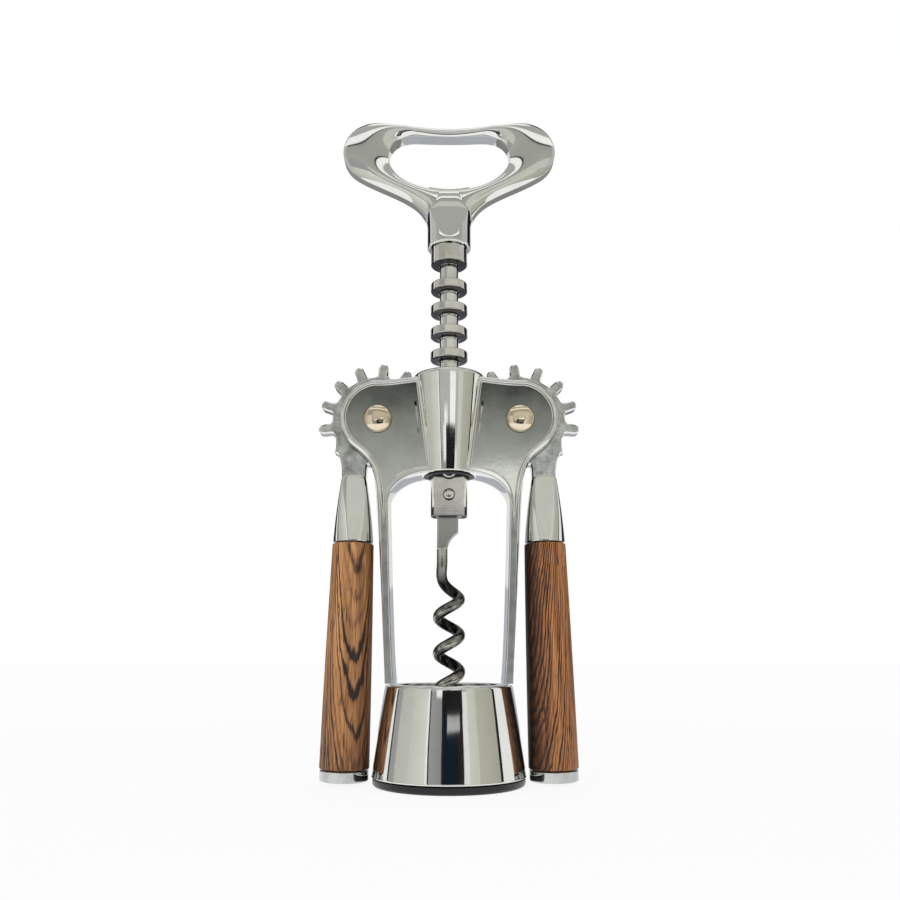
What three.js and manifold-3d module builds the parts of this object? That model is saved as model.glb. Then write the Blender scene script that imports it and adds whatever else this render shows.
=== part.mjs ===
import * as THREE from "three";
import { mergeVertices } from "three/addons/utils/BufferGeometryUtils.js";
import Module from "manifold-3d";

const wasm = await Module();
wasm.setup();

// Winged corkscrew, in millimetres. The origin is the centre of the bell's base, +Z is up, -Y is the front.
// The stem is a rack of plain rings, so it can turn and slide while both lever gears stay in mesh with it.

// Fits shared by every pair of pieces
const fitGap = 0.3;
const overrun = 2;
const sharpestShare = 0.5;

// Bell that sits on the bottle's neck
const bellBaseRadius = 19.9;
const bellTaper = 3.3;
const bellTop = 24.75;
const bellWall = 1.7;
const bellShoulder = 1.4;
const bellRim = 3.1;
const bellFlange = 2.3;
const bellBulgeShare = 0.04;
const bellWallShares = [0.02, 0.25, 0.5, 0.75, 0.94];
const cornerInShare = 0.25;
const cornerUpShare = 0.35;

// Rubber ring under the bell
const sealHeight = 1.9;
const sealWidth = 3.3;
const sealLipHeight = 4.2;
const sealCorner = 0.9;

// Pivots and the lobes of the cheeks round them
const pivotHeight = 95.5;
const lobeRadius = 11.3;
const lobeShiftIn = 0.2;
const lobeShiftUp = 0.5;
const shoulderRise = 12.7;
const shoulderReach = 5.5;
const shoulderInset = 0.9;
const lobeStartAngle = -46;
const lobeEndAngle = 80;

// Legs and cheeks of the casting, drawn on the parting plane
const cheekDepth = 6;
const cheekDraft = 0.8;
const cheekEdge = 0.35;
const legFootInset = 0.2;
const legFootWidth = 2.75;
const kneeOut = 0.4;
const kneeWidth = 4.15;
const kneeDrop = 21.5;
const footRise = 0.9;
const ankleRise = 8.4;
const ankleSpread = 0.9;
const windowDrop = 23.5;
const archDrop = 15.7;
const archFlat = 4.6;
const kneeReach = 10.5;
const lobeReach = 4.5;

// Field sunk into each cheek, inside a raised rim
const rimWidth = 1.25;
const legRimShare = 0.42;
const fieldSink = 1.0;
const fieldTipDrop = 28.5;

// Conical boss that guides the stem
const bossRise = 13.5;
const bossDrop = 15;
const bossTopRadius = 10.5;
const bossBottomRadius = 7.4;
const bossCorner = 0.9;
const slitOut = 0.45;
const slitWidth = 0.6;
const slitLength = 9.5;

// Tenons that hold the legs in the bell
const tenonWidth = 1.3;
const tenonDepth = 6;
const tenonLength = 1.6;

// Gear sector of the levers, and the rack rings that it meshes with
const wheelTeeth = 14;
const sectorTeeth = 9;
const rackPitch = 7;
const toothReach = 1.103;
const rootClearance = 1.55;
const toothWidthShare = 0.393;
const toothClearance = 1.55;
const rootFillet = 0.7;
const filletFootShare = 0.25;
const tipRoundShares = [0.35, 0.8];
const tipFlatShare = 0.3;
const toothPhase = 8.5;
const gearThickness = 4;
const gearEdge = 0.35;
const gearSlotClearance = 0.52;
const hubEndAngle = 103;

// Rack stem: plain rings at the gear's pitch
const ringCount = 7;
const ringReach = 1.297;
const ringCorner = 0.45;
const grooveRadius = 2.6;
const backlash = 0.4;
const collarRise = 47.4;
const collarLength = 5.3;
const collarSink = 1;
const spigotRadius = 3;
const spigotLength = 8;

// Slotted block at the stem's lower end
const blockDrop = 26.6;
const blockInset = 0.1;
const blockFlat = 3.3;

// Guide bush in the boss
const bushFlange = 0.9;
const bushLip = 0.8;
const bushWall = 0.5;
const bushHeight = 5.2;

// Arm of the lever between the gear and the ferrule
const spurCut = 1.75;
const spurLag = 28.5;
const armWidth = 6.7;
const armLength = 24;
const armOuterDrop = 0.45;
const armFootShare = 0.8;
const spurSideShare = 0.98;
const spurRiseShare = 0.75;
const hubRiseShare = 0.9;
const spurRootShare = 1.1;

// Ferrule, tang and grip, along the lever's own axis
const ferruleDrop = 15.1;
const ferruleOut = 6.12;
const ferruleTopWidth = 6.8;
const ferruleTopDepth = 4.7;
const ferruleTopShift = 0.4;
const ferruleTopCurve = 3.2;
const ferruleArch = 0.9;
const ferruleRadius = 5.42;
const ferruleLength = 18.6;
const ferruleShares = [0, 0.04, 0.28, 0.52, 0.76, 1];
const ferruleCurve = 1.35;
const gripTopRadius = 5.55;
const gripBottomRadius = 6.42;
const gripLength = 57.6;
const gripCorner = 0.45;
const gripBulge = 0.11;
const bellClearance = 0.57;
const tangRadius = 1.9;
const endCapHeight = 2.7;
const endCapInset = 0.12;
const endCapWall = 1;
const endCapSleeve = 5.4;
const endCapFloor = 1.65;

// Pivot pins, their caps and thrust washers
const pinRadius = 2.2;
const pinHeadRadius = 4;
const pinHeadHeight = 2.2;
const domeShares = [[1, 0], [0.93, 0.42], [0.74, 0.74], [0.42, 0.94], [0, 1]];
const washerThickness = 0.6;
const washerRadius = 4.5;
const capSkin = 0.8;

// Worm: a wire helix below a flat tang
const wireRadius = 1.45;
const helixRadius = 2.85;
const helixPitch = 9.4;
const helixLength = 37.7;
const wireStartInset = 1;
const wireStartLength = 10.3;
const wireDrop = 3;
const tipTaper = 7;
const tipPointShare = 0.06;
const wireSides = 7;
const wireStepsPerTurn = 12;
const tangPlateLeft = 3.2;
const tangPlateRight = 2.5;
const tangPlateThickness = 2.6;
const tangHeadWall = 1.1;
const tangPlateRise = 15.1;
const tangNotch = 4.5;
const tangNeckDrop = 8.9;

// Rivets through the block and the worm's tang
const lowerRivetRadius = 1.7;
const lowerRivetRise = 5.7;
const upperRivetRadius = 2.15;
const upperRivetRise = 12.7;
const rivetProud = 0.35;
const rivetFaceShare = 0.6;

// Ring handle
const handleHeight = 41.1;
const handleDip = 2;
const handleHalfWidth = 31.8;
const handleLobe = 9.8;
const handleLobeStart = -58;
const handleLobeEnd = 95;
const neckRadius = 6.5;
const neckSideInset = 0.2;
const neckLength = 5.8;
const neckReach = 9.5;
const flankReach = 11;
const topReachShare = 0.65;
const topDropShare = 0.3;
const holeSide = 13.7;
const holeTopDrop = 5.1;
const holeBottomRise = 18.3;
const holeFootShare = 0.62;
const holeShoulderShare = 0.75;
const holeCornerShare = 0.5;
const holeArchShare = 0.25;
const holeLiftShares = [0.25, 0.15];
const neckShares = [[1, 0.2], [0.98, 0.5], [0.74, 0.8], [0.4, 1]];
const neckFootShare = 0.8;
const outerWallDepth = 1.5;
const holeWallDepth = 2.2;
const ringCrown = 1.9;
const ringCrownShare = 0.33;
const ringCrownCurve = 0.8;
const ringStrips = [0, 0.12, 0.3, 0.55, 0.8, 1];
const neckFacetInset = 0.2;
const neckFacetRise = 2.2;
const neckFacetLean = 15.5;
const openerWidth = 11.3;
const openerRise = 1.1;
const openerDip = 0.7;
const openerRoot = 2.5;

// Facets of the round pieces
const wideSegments = 32;
const gripSegments = 24;
const pinSegments = 18;
const stemSegments = 16;
const curvePoints = 7;
const ringPoints = 8;
const smallCurvePoints = 5;

const half = (value) => value / 2;
const mixed = THREE.MathUtils.lerp;
const radians = THREE.MathUtils.degToRad;

// Sizes and places that follow from the ones above
const bellTopRadius = bellBaseRadius - bellTaper;
const bellNeckRadius = bellTopRadius - bellRim;
const sealRadius = bellBaseRadius - fitGap;
const sealBore = sealRadius - sealWidth;
const legFootHeight = bellTop + fitGap;
const legFootOuter = bellTopRadius - legFootInset;
const legKneeHeight = pivotHeight - kneeDrop;
const windowFoot = legFootOuter - legFootWidth;
const windowSideHeight = pivotHeight - windowDrop;
const archTop = pivotHeight - archDrop;
const bossTop = pivotHeight + bossRise;
const bossBottom = pivotHeight - bossDrop;
const shoulderHeight = pivotHeight + shoulderRise;
const shoulderJoin = bossTopRadius - shoulderInset;
const pitchRadius = wheelTeeth * rackPitch / (2 * Math.PI);
const toothAngle = 360 / wheelTeeth;
const tipRadius = pitchRadius + toothReach;
const pivotX = tipRadius + fitGap + grooveRadius;
const ringRadius = pivotX - pitchRadius + ringReach;
const rootRadius = pivotX - ringRadius - rootClearance;
const toothWidth = rackPitch * toothWidthShare;
const ringHeight = rackPitch - toothWidth - toothClearance;
const blockRadius = ringRadius - blockInset;
const legKneeOuter = pivotX + kneeOut;
const windowSide = legKneeOuter - kneeWidth;
const legRim = (kneeWidth - 2 * cheekDraft - rimWidth) * legRimShare;
const halfGear = half(gearThickness);
const slotDepth = halfGear + 2 * fitGap + washerThickness;
const lobeX = pivotX - lobeShiftIn;
const lobeHeight = pivotHeight + lobeShiftUp;
const firstToothHeight = pivotHeight + pitchRadius * Math.sin(radians(toothPhase));
const firstRingHeight = firstToothHeight - half(rackPitch) - backlash;
const bushRadius = ringRadius + fitGap + bushWall;
const bushFlangeRadius = bushRadius + bushLip;
const blockBottom = pivotHeight - blockDrop;
const collarBottom = pivotHeight + collarRise;
const blockSlot = half(tangPlateThickness) + fitGap;
const neckBottom = collarBottom + collarLength;
const collarTop = neckBottom + collarSink - fitGap;
const spurRadius = tipRadius - spurCut;
const lastTooth = toothPhase + toothAngle * (sectorTeeth - 2);
const spurAngle = lastTooth + spurLag;
const ferruleTop = pivotHeight - ferruleDrop;
const gripTop = ferruleTop - ferruleLength - fitGap;
const gripBottom = gripTop - gripLength;
const capBottom = gripBottom - fitGap - endCapHeight;
const capFloor = capBottom + endCapFloor;
const capRadius = gripBottomRadius - endCapInset;
const capSleeveRadius = tangRadius + fitGap + endCapWall;
const capSleeveTop = gripBottom - fitGap + endCapSleeve;
const axisFoot = bellBaseRadius + bellClearance + gripBottomRadius;
const axisLean = THREE.MathUtils.radToDeg(Math.atan((axisFoot - pivotX - ferruleOut) / ferruleTop));
const tangHead = upperRivetRadius + fitGap + tangHeadWall;
const tangNeckHeight = blockBottom - tangNeckDrop;
const tangNotchHeight = tangNeckHeight + tangNotch;
const tangPlateTop = blockBottom + tangPlateRise;
const wireStartHeight = tangNeckHeight - wireDrop;
const wireStartRadius = helixRadius - wireStartInset;
const topTurnHeight = wireStartHeight - wireStartLength;
const tipHeight = topTurnHeight - helixLength;
const lowerRivetHeight = blockBottom + lowerRivetRise;
const upperRivetHeight = blockBottom + upperRivetRise;
const handleTop = neckBottom + handleHeight;
const handleMiddle = handleTop - handleLobe;
const lobeCentre = handleHalfWidth - handleLobe;
const neckTop = neckBottom + neckLength;
const neckSide = neckRadius - neckSideInset;
const holeHalfWidth = handleHalfWidth - holeSide;
const holeTop = handleTop - holeTopDrop;
const holeBottom = neckBottom + holeBottomRise;

const chrome = { color: 0xc9ccc8, roughness: 0.08, metalness: 1 };
const nickel = { color: 0xd8c9ab, roughness: 0.14, metalness: 1 };
const steel = { color: 0xb9b7b0, roughness: 0.18, metalness: 1 };
const gunmetal = { color: 0x6f6f6b, roughness: 0.25, metalness: 1 };
const walnut = { color: 0x8a5a34, roughness: 0.5, metalness: 0 };
const rubber = { color: 0x1d1f20, roughness: 0.75, metalness: 0 };
const brass = { color: 0xb39a62, roughness: 0.35, metalness: 1 };

// Closed solids and their joins

function solidOf(geometry) {
  const bare = geometry.clone();
  bare.deleteAttribute("normal");
  bare.deleteAttribute("uv");
  const merged = mergeVertices(bare);
  return new wasm.Manifold(new wasm.Mesh({
    numProp: 3,
    vertProperties: merged.attributes.position.array,
    triVerts: new Uint32Array(merged.index.array),
  }));
}

function meshOf(name, solid, finish) {
  const { vertProperties, triVerts } = solid.getMesh();
  const geometry = new THREE.BufferGeometry();
  geometry.setAttribute("position", new THREE.BufferAttribute(vertProperties, 3));
  geometry.setIndex(new THREE.BufferAttribute(triVerts, 1));
  geometry.computeVertexNormals();
  const mesh = new THREE.Mesh(geometry, new THREE.MeshStandardMaterial(finish));
  mesh.name = name;
  return mesh;
}

const moved = (solid, x, y, z) => solid.translate([x, y, z]);

function joined(solids) {
  return solids.reduce((sum, solid) => sum.add(solid));
}

function cut(solid, tools) {
  return tools.reduce((rest, tool) => rest.subtract(tool), solid);
}

// Revolve of a profile of [radius, height], drawn counter-clockwise, about the Z axis
function revolved(profile, segments) {
  const points = profile.map(([radius, height]) => new THREE.Vector2(radius, height));
  const geometry = new THREE.LatheGeometry(points, segments);
  return solidOf(geometry.rotateX(half(Math.PI)));
}

function rod(radius, bottom, top, segments) {
  return revolved([[0, bottom], [radius, bottom], [radius, top], [0, top]], segments);
}

function tube(bore, radius, bottom, top, segments) {
  return revolved([[bore, bottom], [radius, bottom], [radius, top], [bore, top], [bore, bottom]], segments);
}

// The same, with the axis along Y: heights run from the front towards the back
const crosswise = (solid) => solid.rotate([-90, 0, 0]);

function block(width, depth, height) {
  return solidOf(new THREE.BoxGeometry(width, depth, height));
}

// Outlines are lists of [x, z], counter-clockwise from the front

function pointsOf(path, divisions) {
  return path.getPoints(divisions).map((point) => [point.x, point.y]);
}

function withoutRepeats(outline) {
  return outline.filter(([x, z], index) => {
    const [lastX, lastZ] = outline[(index + outline.length - 1) % outline.length];
    return Math.hypot(x - lastX, z - lastZ) > fitGap / 10;
  });
}

// A right half, drawn upwards from the middle line, becomes a whole outline
function mirrored(rightHalf) {
  const leftHalf = rightHalf.map(([x, z]) => [-x, z]).reverse();
  return withoutRepeats([...rightHalf, ...leftHalf]);
}

// Inward direction at each corner, lengthened so that both edges move by one unit
function inwardDirections(outline) {
  const count = outline.length;
  return outline.map(([x, z], index) => {
    const [beforeX, beforeZ] = outline[(index + count - 1) % count];
    const [afterX, afterZ] = outline[(index + 1) % count];
    const into = new THREE.Vector2(x - beforeX, z - beforeZ).normalize();
    const out = new THREE.Vector2(afterX - x, afterZ - z).normalize();
    const inward = new THREE.Vector2(-into.y - out.y, into.x + out.x).normalize();
    const reach = Math.max(inward.x * -into.y + inward.y * into.x, sharpestShare);
    return [inward.x / reach, inward.y / reach];
  });
}

// A cast wall: the outline on the parting plane, drawn in by [depth, inset] steps towards both faces
function drafted(outline, steps, insetShare = () => 1) {
  const front = [...steps].reverse().map(([depth, inset]) => [-depth, inset]);
  const back = steps.filter(([depth]) => depth > 0);
  const levels = [...front, ...back];
  const inward = inwardDirections(outline);
  const position = [];
  for (const [depth, inset] of levels) {
    outline.forEach(([x, z], index) => {
      const move = inset * insetShare(x, z);
      position.push(x + inward[index][0] * move, depth, z + inward[index][1] * move);
    });
  }
  return solidOf(stitched(position, outline, levels.length));
}

function stitched(position, outline, levelCount) {
  const count = outline.length;
  const index = [];
  for (let level = 0; level + 1 < levelCount; level += 1) {
    for (let corner = 0; corner < count; corner += 1) {
      const next = (corner + 1) % count;
      const here = level * count;
      const there = here + count;
      index.push(here + corner, there + corner, here + next);
      index.push(there + corner, there + next, here + next);
    }
  }
  const last = (levelCount - 1) * count;
  const capOf = (start) => outline.map((corner, place) => {
    const at = (start + place) * 3;
    return new THREE.Vector2(position[at], position[at + 2]);
  });
  for (const [a, b, c] of THREE.ShapeUtils.triangulateShape(capOf(0), [])) index.push(a, b, c);
  for (const [a, b, c] of THREE.ShapeUtils.triangulateShape(capOf(last), [])) {
    index.push(last + a, last + c, last + b);
  }
  const geometry = new THREE.BufferGeometry();
  geometry.setAttribute("position", new THREE.Float32BufferAttribute(position, 3));
  return geometry.setIndex(index);
}

// A plain prism of an outline, between two depths
function prism(outline, front, back) {
  const middle = half(front + back);
  return moved(drafted(outline, [[half(back - front), 0]]), 0, middle, 0);
}

// Bell and its rubber ring

function bell() {
  const rise = bellTop - sealHeight - fitGap;
  const base = sealHeight + fitGap;
  const bulge = bellBulgeShare * (bellBaseRadius - bellTopRadius);
  const outerAt = (share) => bellBaseRadius + (bellTopRadius - bellBaseRadius) * share
    + bulge * 4 * share * (1 - share);
  const outer = bellWallShares.map((share) => [outerAt(share), base + rise * share]);
  const corner = [
    [bellTopRadius - bellShoulder * cornerInShare, bellTop - bellShoulder * cornerUpShare],
    [bellTopRadius - bellShoulder, bellTop],
  ];
  const ledge = bellTop - bellFlange;
  const ledgeShare = (ledge - base) / rise;
  const profile = [
    [bellBaseRadius - bellWall, base],
    [bellBaseRadius - half(fitGap), base],
    ...outer,
    ...corner,
    [bellNeckRadius, bellTop],
    [bellNeckRadius, ledge],
    [outerAt(ledgeShare) - bellWall, ledge],
    [bellBaseRadius - bellWall, base],
  ];
  return cut(revolved(profile, wideSegments), [-1, 1].map((side) => legTenon(side, fitGap)));
}

function bellSealRing() {
  const lip = bellBaseRadius - bellWall - fitGap;
  const lipTop = lip - half(bellBaseRadius - bellTopRadius) * (sealLipHeight / bellTop);
  const profile = [
    [sealBore, 0],
    [sealRadius - sealCorner, 0],
    [sealRadius - sealCorner * cornerUpShare, sealCorner * cornerUpShare],
    [sealRadius, sealCorner],
    [sealRadius, sealHeight],
    [lip, sealHeight],
    [lipTop - fitGap, sealHeight + sealLipHeight],
    [sealBore, sealHeight + sealLipHeight],
    [sealBore, 0],
  ];
  return revolved(profile, wideSegments);
}

// Frame casting: two cheeks, the boss and the legs

const legLean = (legKneeOuter - legFootOuter) / (legKneeHeight - legFootHeight);

// Outer edge of leg, knee, lobe and shoulder on the right, drawn in by an inset
function cheekEdgePath(inset, bottomHeight) {
  const lobe = lobeRadius - inset;
  const start = radians(lobeStartAngle);
  const end = radians(lobeEndAngle);
  const knee = [legKneeOuter - inset, legKneeHeight];
  const path = new THREE.Path();
  path.moveTo(knee[0] - legLean * (legKneeHeight - bottomHeight), bottomHeight);
  path.lineTo(knee[0], knee[1]);
  path.bezierCurveTo(
    knee[0] + legLean * kneeReach, knee[1] + kneeReach,
    lobeX + lobe * Math.cos(start) + lobeReach * Math.sin(start),
    lobeHeight + lobe * Math.sin(start) - lobeReach * Math.cos(start),
    lobeX + lobe * Math.cos(start), lobeHeight + lobe * Math.sin(start),
  );
  path.absarc(lobeX, lobeHeight, lobe, start, end, false);
  path.bezierCurveTo(
    lobeX + lobe * Math.cos(end) - shoulderReach, lobeHeight + lobe * Math.sin(end),
    shoulderJoin + half(shoulderReach), shoulderHeight - inset - fitGap,
    shoulderJoin, shoulderHeight - inset,
  );
  return path;
}

// Arch between the legs, from the right leg's inner side to the middle line
function archCurve(path, sideInset, topInset) {
  const side = windowSide + sideInset;
  const top = archTop + topInset;
  path.bezierCurveTo(side, half(windowSideHeight + top) + topInset, side - archFlat, top, archFlat, top);
}

function windowOutline() {
  const path = new THREE.Path();
  path.moveTo(0, legFootHeight - overrun);
  path.lineTo(windowFoot, legFootHeight - overrun);
  path.lineTo(windowFoot, legFootHeight + footRise);
  path.quadraticCurveTo(
    windowFoot + ankleSpread, legFootHeight + ankleRise,
    windowSide, windowSideHeight,
  );
  archCurve(path, 0, 0);
  path.lineTo(0, archTop);
  return mirrored(pointsOf(path, curvePoints));
}

function fieldOutline(side) {
  const inset = cheekDraft + rimWidth;
  const path = cheekEdgePath(inset, pivotHeight - fieldTipDrop);
  const bossSide = (height) => bossBottomRadius
    + (bossTopRadius - bossBottomRadius) * ((height - bossBottom) / (bossTop - bossBottom));
  const reachAt = (height) => Math.sqrt(bossSide(height) ** 2 - (cheekDepth - fieldSink) ** 2);
  const innerEnd = reachAt(archTop + inset);
  path.lineTo(reachAt(shoulderHeight - inset), shoulderHeight - inset);
  path.lineTo(innerEnd, archTop + inset);
  const arch = new THREE.Path();
  arch.moveTo(windowSide + cheekDraft + legRim, windowSideHeight);
  archCurve(arch, cheekDraft + legRim, inset);
  const archSide = pointsOf(arch, smallCurvePoints).filter(([x]) => x > innerEnd + fitGap).reverse();
  const outline = withoutRepeats([...pointsOf(path, smallCurvePoints), ...archSide]);
  return side > 0 ? outline : outline.map(([x, z]) => [-x, z]).reverse();
}

function cheeks() {
  const outer = cheekEdgePath(0, legFootHeight);
  outer.lineTo(0, shoulderHeight);
  const rightHalf = [[0, legFootHeight], ...pointsOf(outer, curvePoints)];
  const steps = [
    [0, 0],
    [cheekDepth - cheekEdge, cheekDraft - half(cheekEdge)],
    [cheekDepth, cheekDraft + half(cheekEdge)],
  ];
  const footPlane = (x, z) => (z > legFootHeight ? 1 : 0);
  const opening = [
    [0, 0],
    [cheekDepth - cheekEdge, half(cheekEdge) - cheekDraft],
    [cheekDepth + fitGap, -cheekDraft - cheekEdge],
  ];
  return cut(drafted(mirrored(rightHalf), steps, footPlane), [
    drafted(windowOutline(), opening),
    ...[-1, 1].flatMap((side) => [
      prism(fieldOutline(side), -cheekDepth - overrun, fieldSink - cheekDepth),
      prism(fieldOutline(side), cheekDepth - fieldSink, cheekDepth + overrun),
    ]),
  ]);
}

function boss() {
  return revolved([
    [0, bossBottom],
    [bossBottomRadius - half(bossCorner), bossBottom],
    [bossBottomRadius, bossBottom + half(bossCorner)],
    [bossTopRadius, bossTop - bossCorner],
    [bossTopRadius - bossCorner * cornerInShare, bossTop - bossCorner * cornerUpShare],
    [bossTopRadius - bossCorner, bossTop],
    [0, bossTop],
  ], wideSegments);
}

// Slit beside the boss, where the gear shows through the cheek
function gearSlit(side, face) {
  const lean = Math.atan((bossTopRadius - bossBottomRadius) / (bossTop - bossBottom));
  const reach = half(bossTopRadius + bossBottomRadius);
  const across = Math.sqrt(reach ** 2 - slotDepth ** 2) + slitOut;
  const slit = block(slitWidth, cheekDepth, slitLength).rotate([0, THREE.MathUtils.radToDeg(lean) * side, 0]);
  return moved(slit, across * side, face * cheekDepth, lobeHeight);
}

function legTenon(side, clearance) {
  const width = tenonWidth + 2 * clearance;
  const depth = tenonDepth + 2 * clearance;
  const top = legFootHeight + half(fitGap);
  const bottom = bellTop - tenonLength - clearance;
  const middle = half(legFootOuter + windowFoot) - half(fitGap);
  return moved(block(width, depth, top - bottom), middle * side, 0, half(top + bottom));
}

function frameCasting() {
  const sides = [-1, 1];
  const boreBottom = Math.min(archTop, bossBottom) - overrun;
  const gearSlot = crosswise(rod(tipRadius + gearSlotClearance, -slotDepth, slotDepth, wideSegments));
  const holeReach = cheekDepth + overrun;
  const pinHole = crosswise(rod(pinRadius + fitGap, -holeReach, holeReach, pinSegments));
  const body = joined([cheeks(), boss(), ...sides.map((side) => legTenon(side, 0))]);
  return cut(body, [
    rod(ringRadius + fitGap, boreBottom, bossTop + overrun, gripSegments),
    rod(bushRadius + fitGap, boreBottom, bossBottom + bushHeight, gripSegments),
    rod(bushFlangeRadius + fitGap, boreBottom, bossBottom, gripSegments),
    ...sides.map((side) => moved(gearSlot, pivotX * side, 0, pivotHeight)),
    ...sides.map((side) => moved(pinHole, pivotX * side, 0, pivotHeight)),
    ...sides.flatMap((side) => sides.map((face) => gearSlit(side, face))),
  ]);
}

function guideBush() {
  const bore = ringRadius + fitGap;
  const flangeTop = bossBottom - fitGap;
  const top = bossBottom + bushHeight - fitGap;
  return revolved([
    [bore, flangeTop - bushFlange],
    [bushFlangeRadius, flangeTop - bushFlange],
    [bushFlangeRadius, flangeTop],
    [bushRadius, flangeTop],
    [bushRadius, top],
    [bore, top],
    [bore, flangeTop - bushFlange],
  ], gripSegments);
}

// Pivot pin with its domed head, the cap riveted on its tail, and thrust washers

function dome(radius, rise, seat, direction) {
  return domeShares.map(([across, up]) => [radius * across, seat + direction * rise * up]);
}

function pivotPin() {
  const seat = cheekDepth - fieldSink + fitGap;
  const tail = seat + pinHeadHeight - capSkin - fitGap;
  const head = dome(pinHeadRadius, pinHeadHeight, -seat, -1).reverse();
  return crosswise(revolved([...head, [pinRadius, -seat], [pinRadius, tail], [0, tail]], pinSegments));
}

function pivotCap() {
  const seat = cheekDepth - fieldSink + fitGap;
  const bore = pinRadius + fitGap;
  const depth = seat + pinHeadHeight - capSkin;
  return crosswise(revolved([
    [0, depth],
    [bore, depth],
    [bore, seat],
    ...dome(pinHeadRadius, pinHeadHeight, seat, 1),
  ], pinSegments));
}

function pivotWasher(face) {
  const outer = slotDepth - fitGap;
  const near = face > 0 ? outer - washerThickness : -outer;
  return crosswise(tube(pinRadius + fitGap, washerRadius, near, near + washerThickness, pinSegments));
}

// Lever: gear sector, arm, ferrule and tang, for the left side, with the pivot at zero

function polar(radius, degrees, across = 0) {
  const angle = radians(degrees);
  return [
    radius * Math.cos(angle) - across * Math.sin(angle),
    radius * Math.sin(angle) + across * Math.cos(angle),
  ];
}

// Tooth flank from the root to the rounded tip, as [radius, half width]
function toothFlank() {
  const wide = half(toothWidth);
  return [
    [rootRadius, wide + rootFillet],
    [rootRadius + rootFillet, wide + rootFillet * filletFootShare],
    [tipRadius - wide, wide],
    [tipRadius - wide * tipRoundShares[0], wide * tipRoundShares[1]],
    [tipRadius, wide * tipFlatShare],
  ];
}

function sectorOutline() {
  const outline = [];
  for (let tooth = 0; tooth < sectorTeeth; tooth += 1) {
    const angle = toothPhase + toothAngle * (tooth - 1);
    toothFlank().forEach(([radius, wide]) => outline.push(polar(radius, angle, -wide)));
    toothFlank().reverse().forEach(([radius, wide]) => outline.push(polar(radius, angle, wide)));
  }
  return outline;
}

function leverOutline() {
  const firstTooth = toothPhase - toothAngle;
  const [rootX, rootZ] = polar(rootRadius, lastTooth + half(toothAngle) * spurRootShare);
  const [spurX, spurZ] = polar(spurRadius, spurAngle);
  const ferruleX = axisAt(ferruleTop) + pivotX - ferruleTopShift;
  const ferruleZ = ferruleTop - pivotHeight;
  const endX = axisAt(pivotHeight - armLength) + pivotX;
  const endWidth = half(ferruleTopWidth);
  const outerX = ferruleX - half(armWidth);
  const innerX = ferruleX + half(armWidth);
  const path = new THREE.Path();
  path.moveTo(rootX, rootZ);
  path.quadraticCurveTo(rootX * spurSideShare, spurZ * spurRiseShare, spurX, spurZ);
  path.quadraticCurveTo(outerX, spurZ - armOuterDrop, outerX, ferruleZ);
  path.lineTo(endX - endWidth * armFootShare, -armLength);
  path.lineTo(endX + endWidth * armFootShare, -armLength);
  path.lineTo(innerX, ferruleZ);
  const hubEnd = polar(rootRadius, -hubEndAngle);
  path.quadraticCurveTo(innerX, ferruleZ * hubRiseShare, hubEnd[0], hubEnd[1]);
  path.absarc(0, 0, rootRadius, radians(-hubEndAngle), radians(firstTooth - half(toothAngle)), false);
  return withoutRepeats([...sectorOutline(), ...pointsOf(path, smallCurvePoints)]);
}

// X of the left lever's axis at a height
function axisAt(height) {
  return -axisFoot + height * Math.tan(radians(axisLean));
}

// One ring of the ferrule: a circle at its foot, a rounded bar with an arched end at its top
function ferruleRing(share, bottom) {
  const flat = share ** ferruleCurve;
  const edge = share > 0 ? 0 : fitGap;
  const wide = mixed(ferruleRadius, half(ferruleTopWidth), flat) - edge;
  const deep = mixed(ferruleRadius, half(ferruleTopDepth), flat) - edge;
  const power = 2 / mixed(2, ferruleTopCurve, flat);
  const height = mixed(bottom, ferruleTop - ferruleArch, share);
  const arch = share < 1 ? 0 : ferruleArch;
  return Array.from({ length: gripSegments }, (_, corner) => {
    const turn = 2 * Math.PI * corner / gripSegments;
    const across = Math.sign(Math.cos(turn)) * Math.abs(Math.cos(turn)) ** power;
    const along = Math.sign(Math.sin(turn)) * Math.abs(Math.sin(turn)) ** power;
    return [wide * across - ferruleTopShift * flat, deep * along, height + arch * (1 - across ** 2)];
  }).flat();
}

function ferruleAndTang() {
  const bottom = gripTop + fitGap;
  const position = ferruleShares.flatMap((share) => ferruleRing(share, bottom));
  const ferrule = solidOf(tubeGeometry(position, gripSegments, ferruleShares.length));
  return joined([ferrule, rod(tangRadius, capFloor + fitGap, bottom + fitGap, gripSegments)]);
}

function lever(side) {
  const steps = [[halfGear - gearEdge, 0], [halfGear, gearEdge]];
  const gear = moved(drafted(leverOutline(), steps), -pivotX, 0, pivotHeight);
  const shank = moved(ferruleAndTang().rotate([0, axisLean, 0]), -axisFoot, 0, 0);
  const hole = crosswise(rod(pinRadius + fitGap, -halfGear - overrun, halfGear + overrun, pinSegments));
  const left = cut(joined([gear, shank]), [moved(hole, -pivotX, 0, pivotHeight)]);
  return side < 0 ? left : left.mirror([1, 0, 0]);
}

function grip() {
  const bore = tangRadius + fitGap;
  const pocket = capSleeveRadius + fitGap;
  const pocketTop = capSleeveTop + fitGap;
  const bottom = gripBottom;
  return revolved([
    [pocket, bottom],
    [gripBottomRadius - gripCorner, bottom],
    [gripBottomRadius, bottom + gripCorner],
    [half(gripBottomRadius + gripTopRadius) + gripBulge, half(bottom + gripTop)],
    [gripTopRadius, gripTop - gripCorner],
    [gripTopRadius - gripCorner, gripTop],
    [bore, gripTop],
    [bore, pocketTop],
    [pocket, pocketTop],
    [pocket, bottom],
  ], gripSegments);
}

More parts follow.
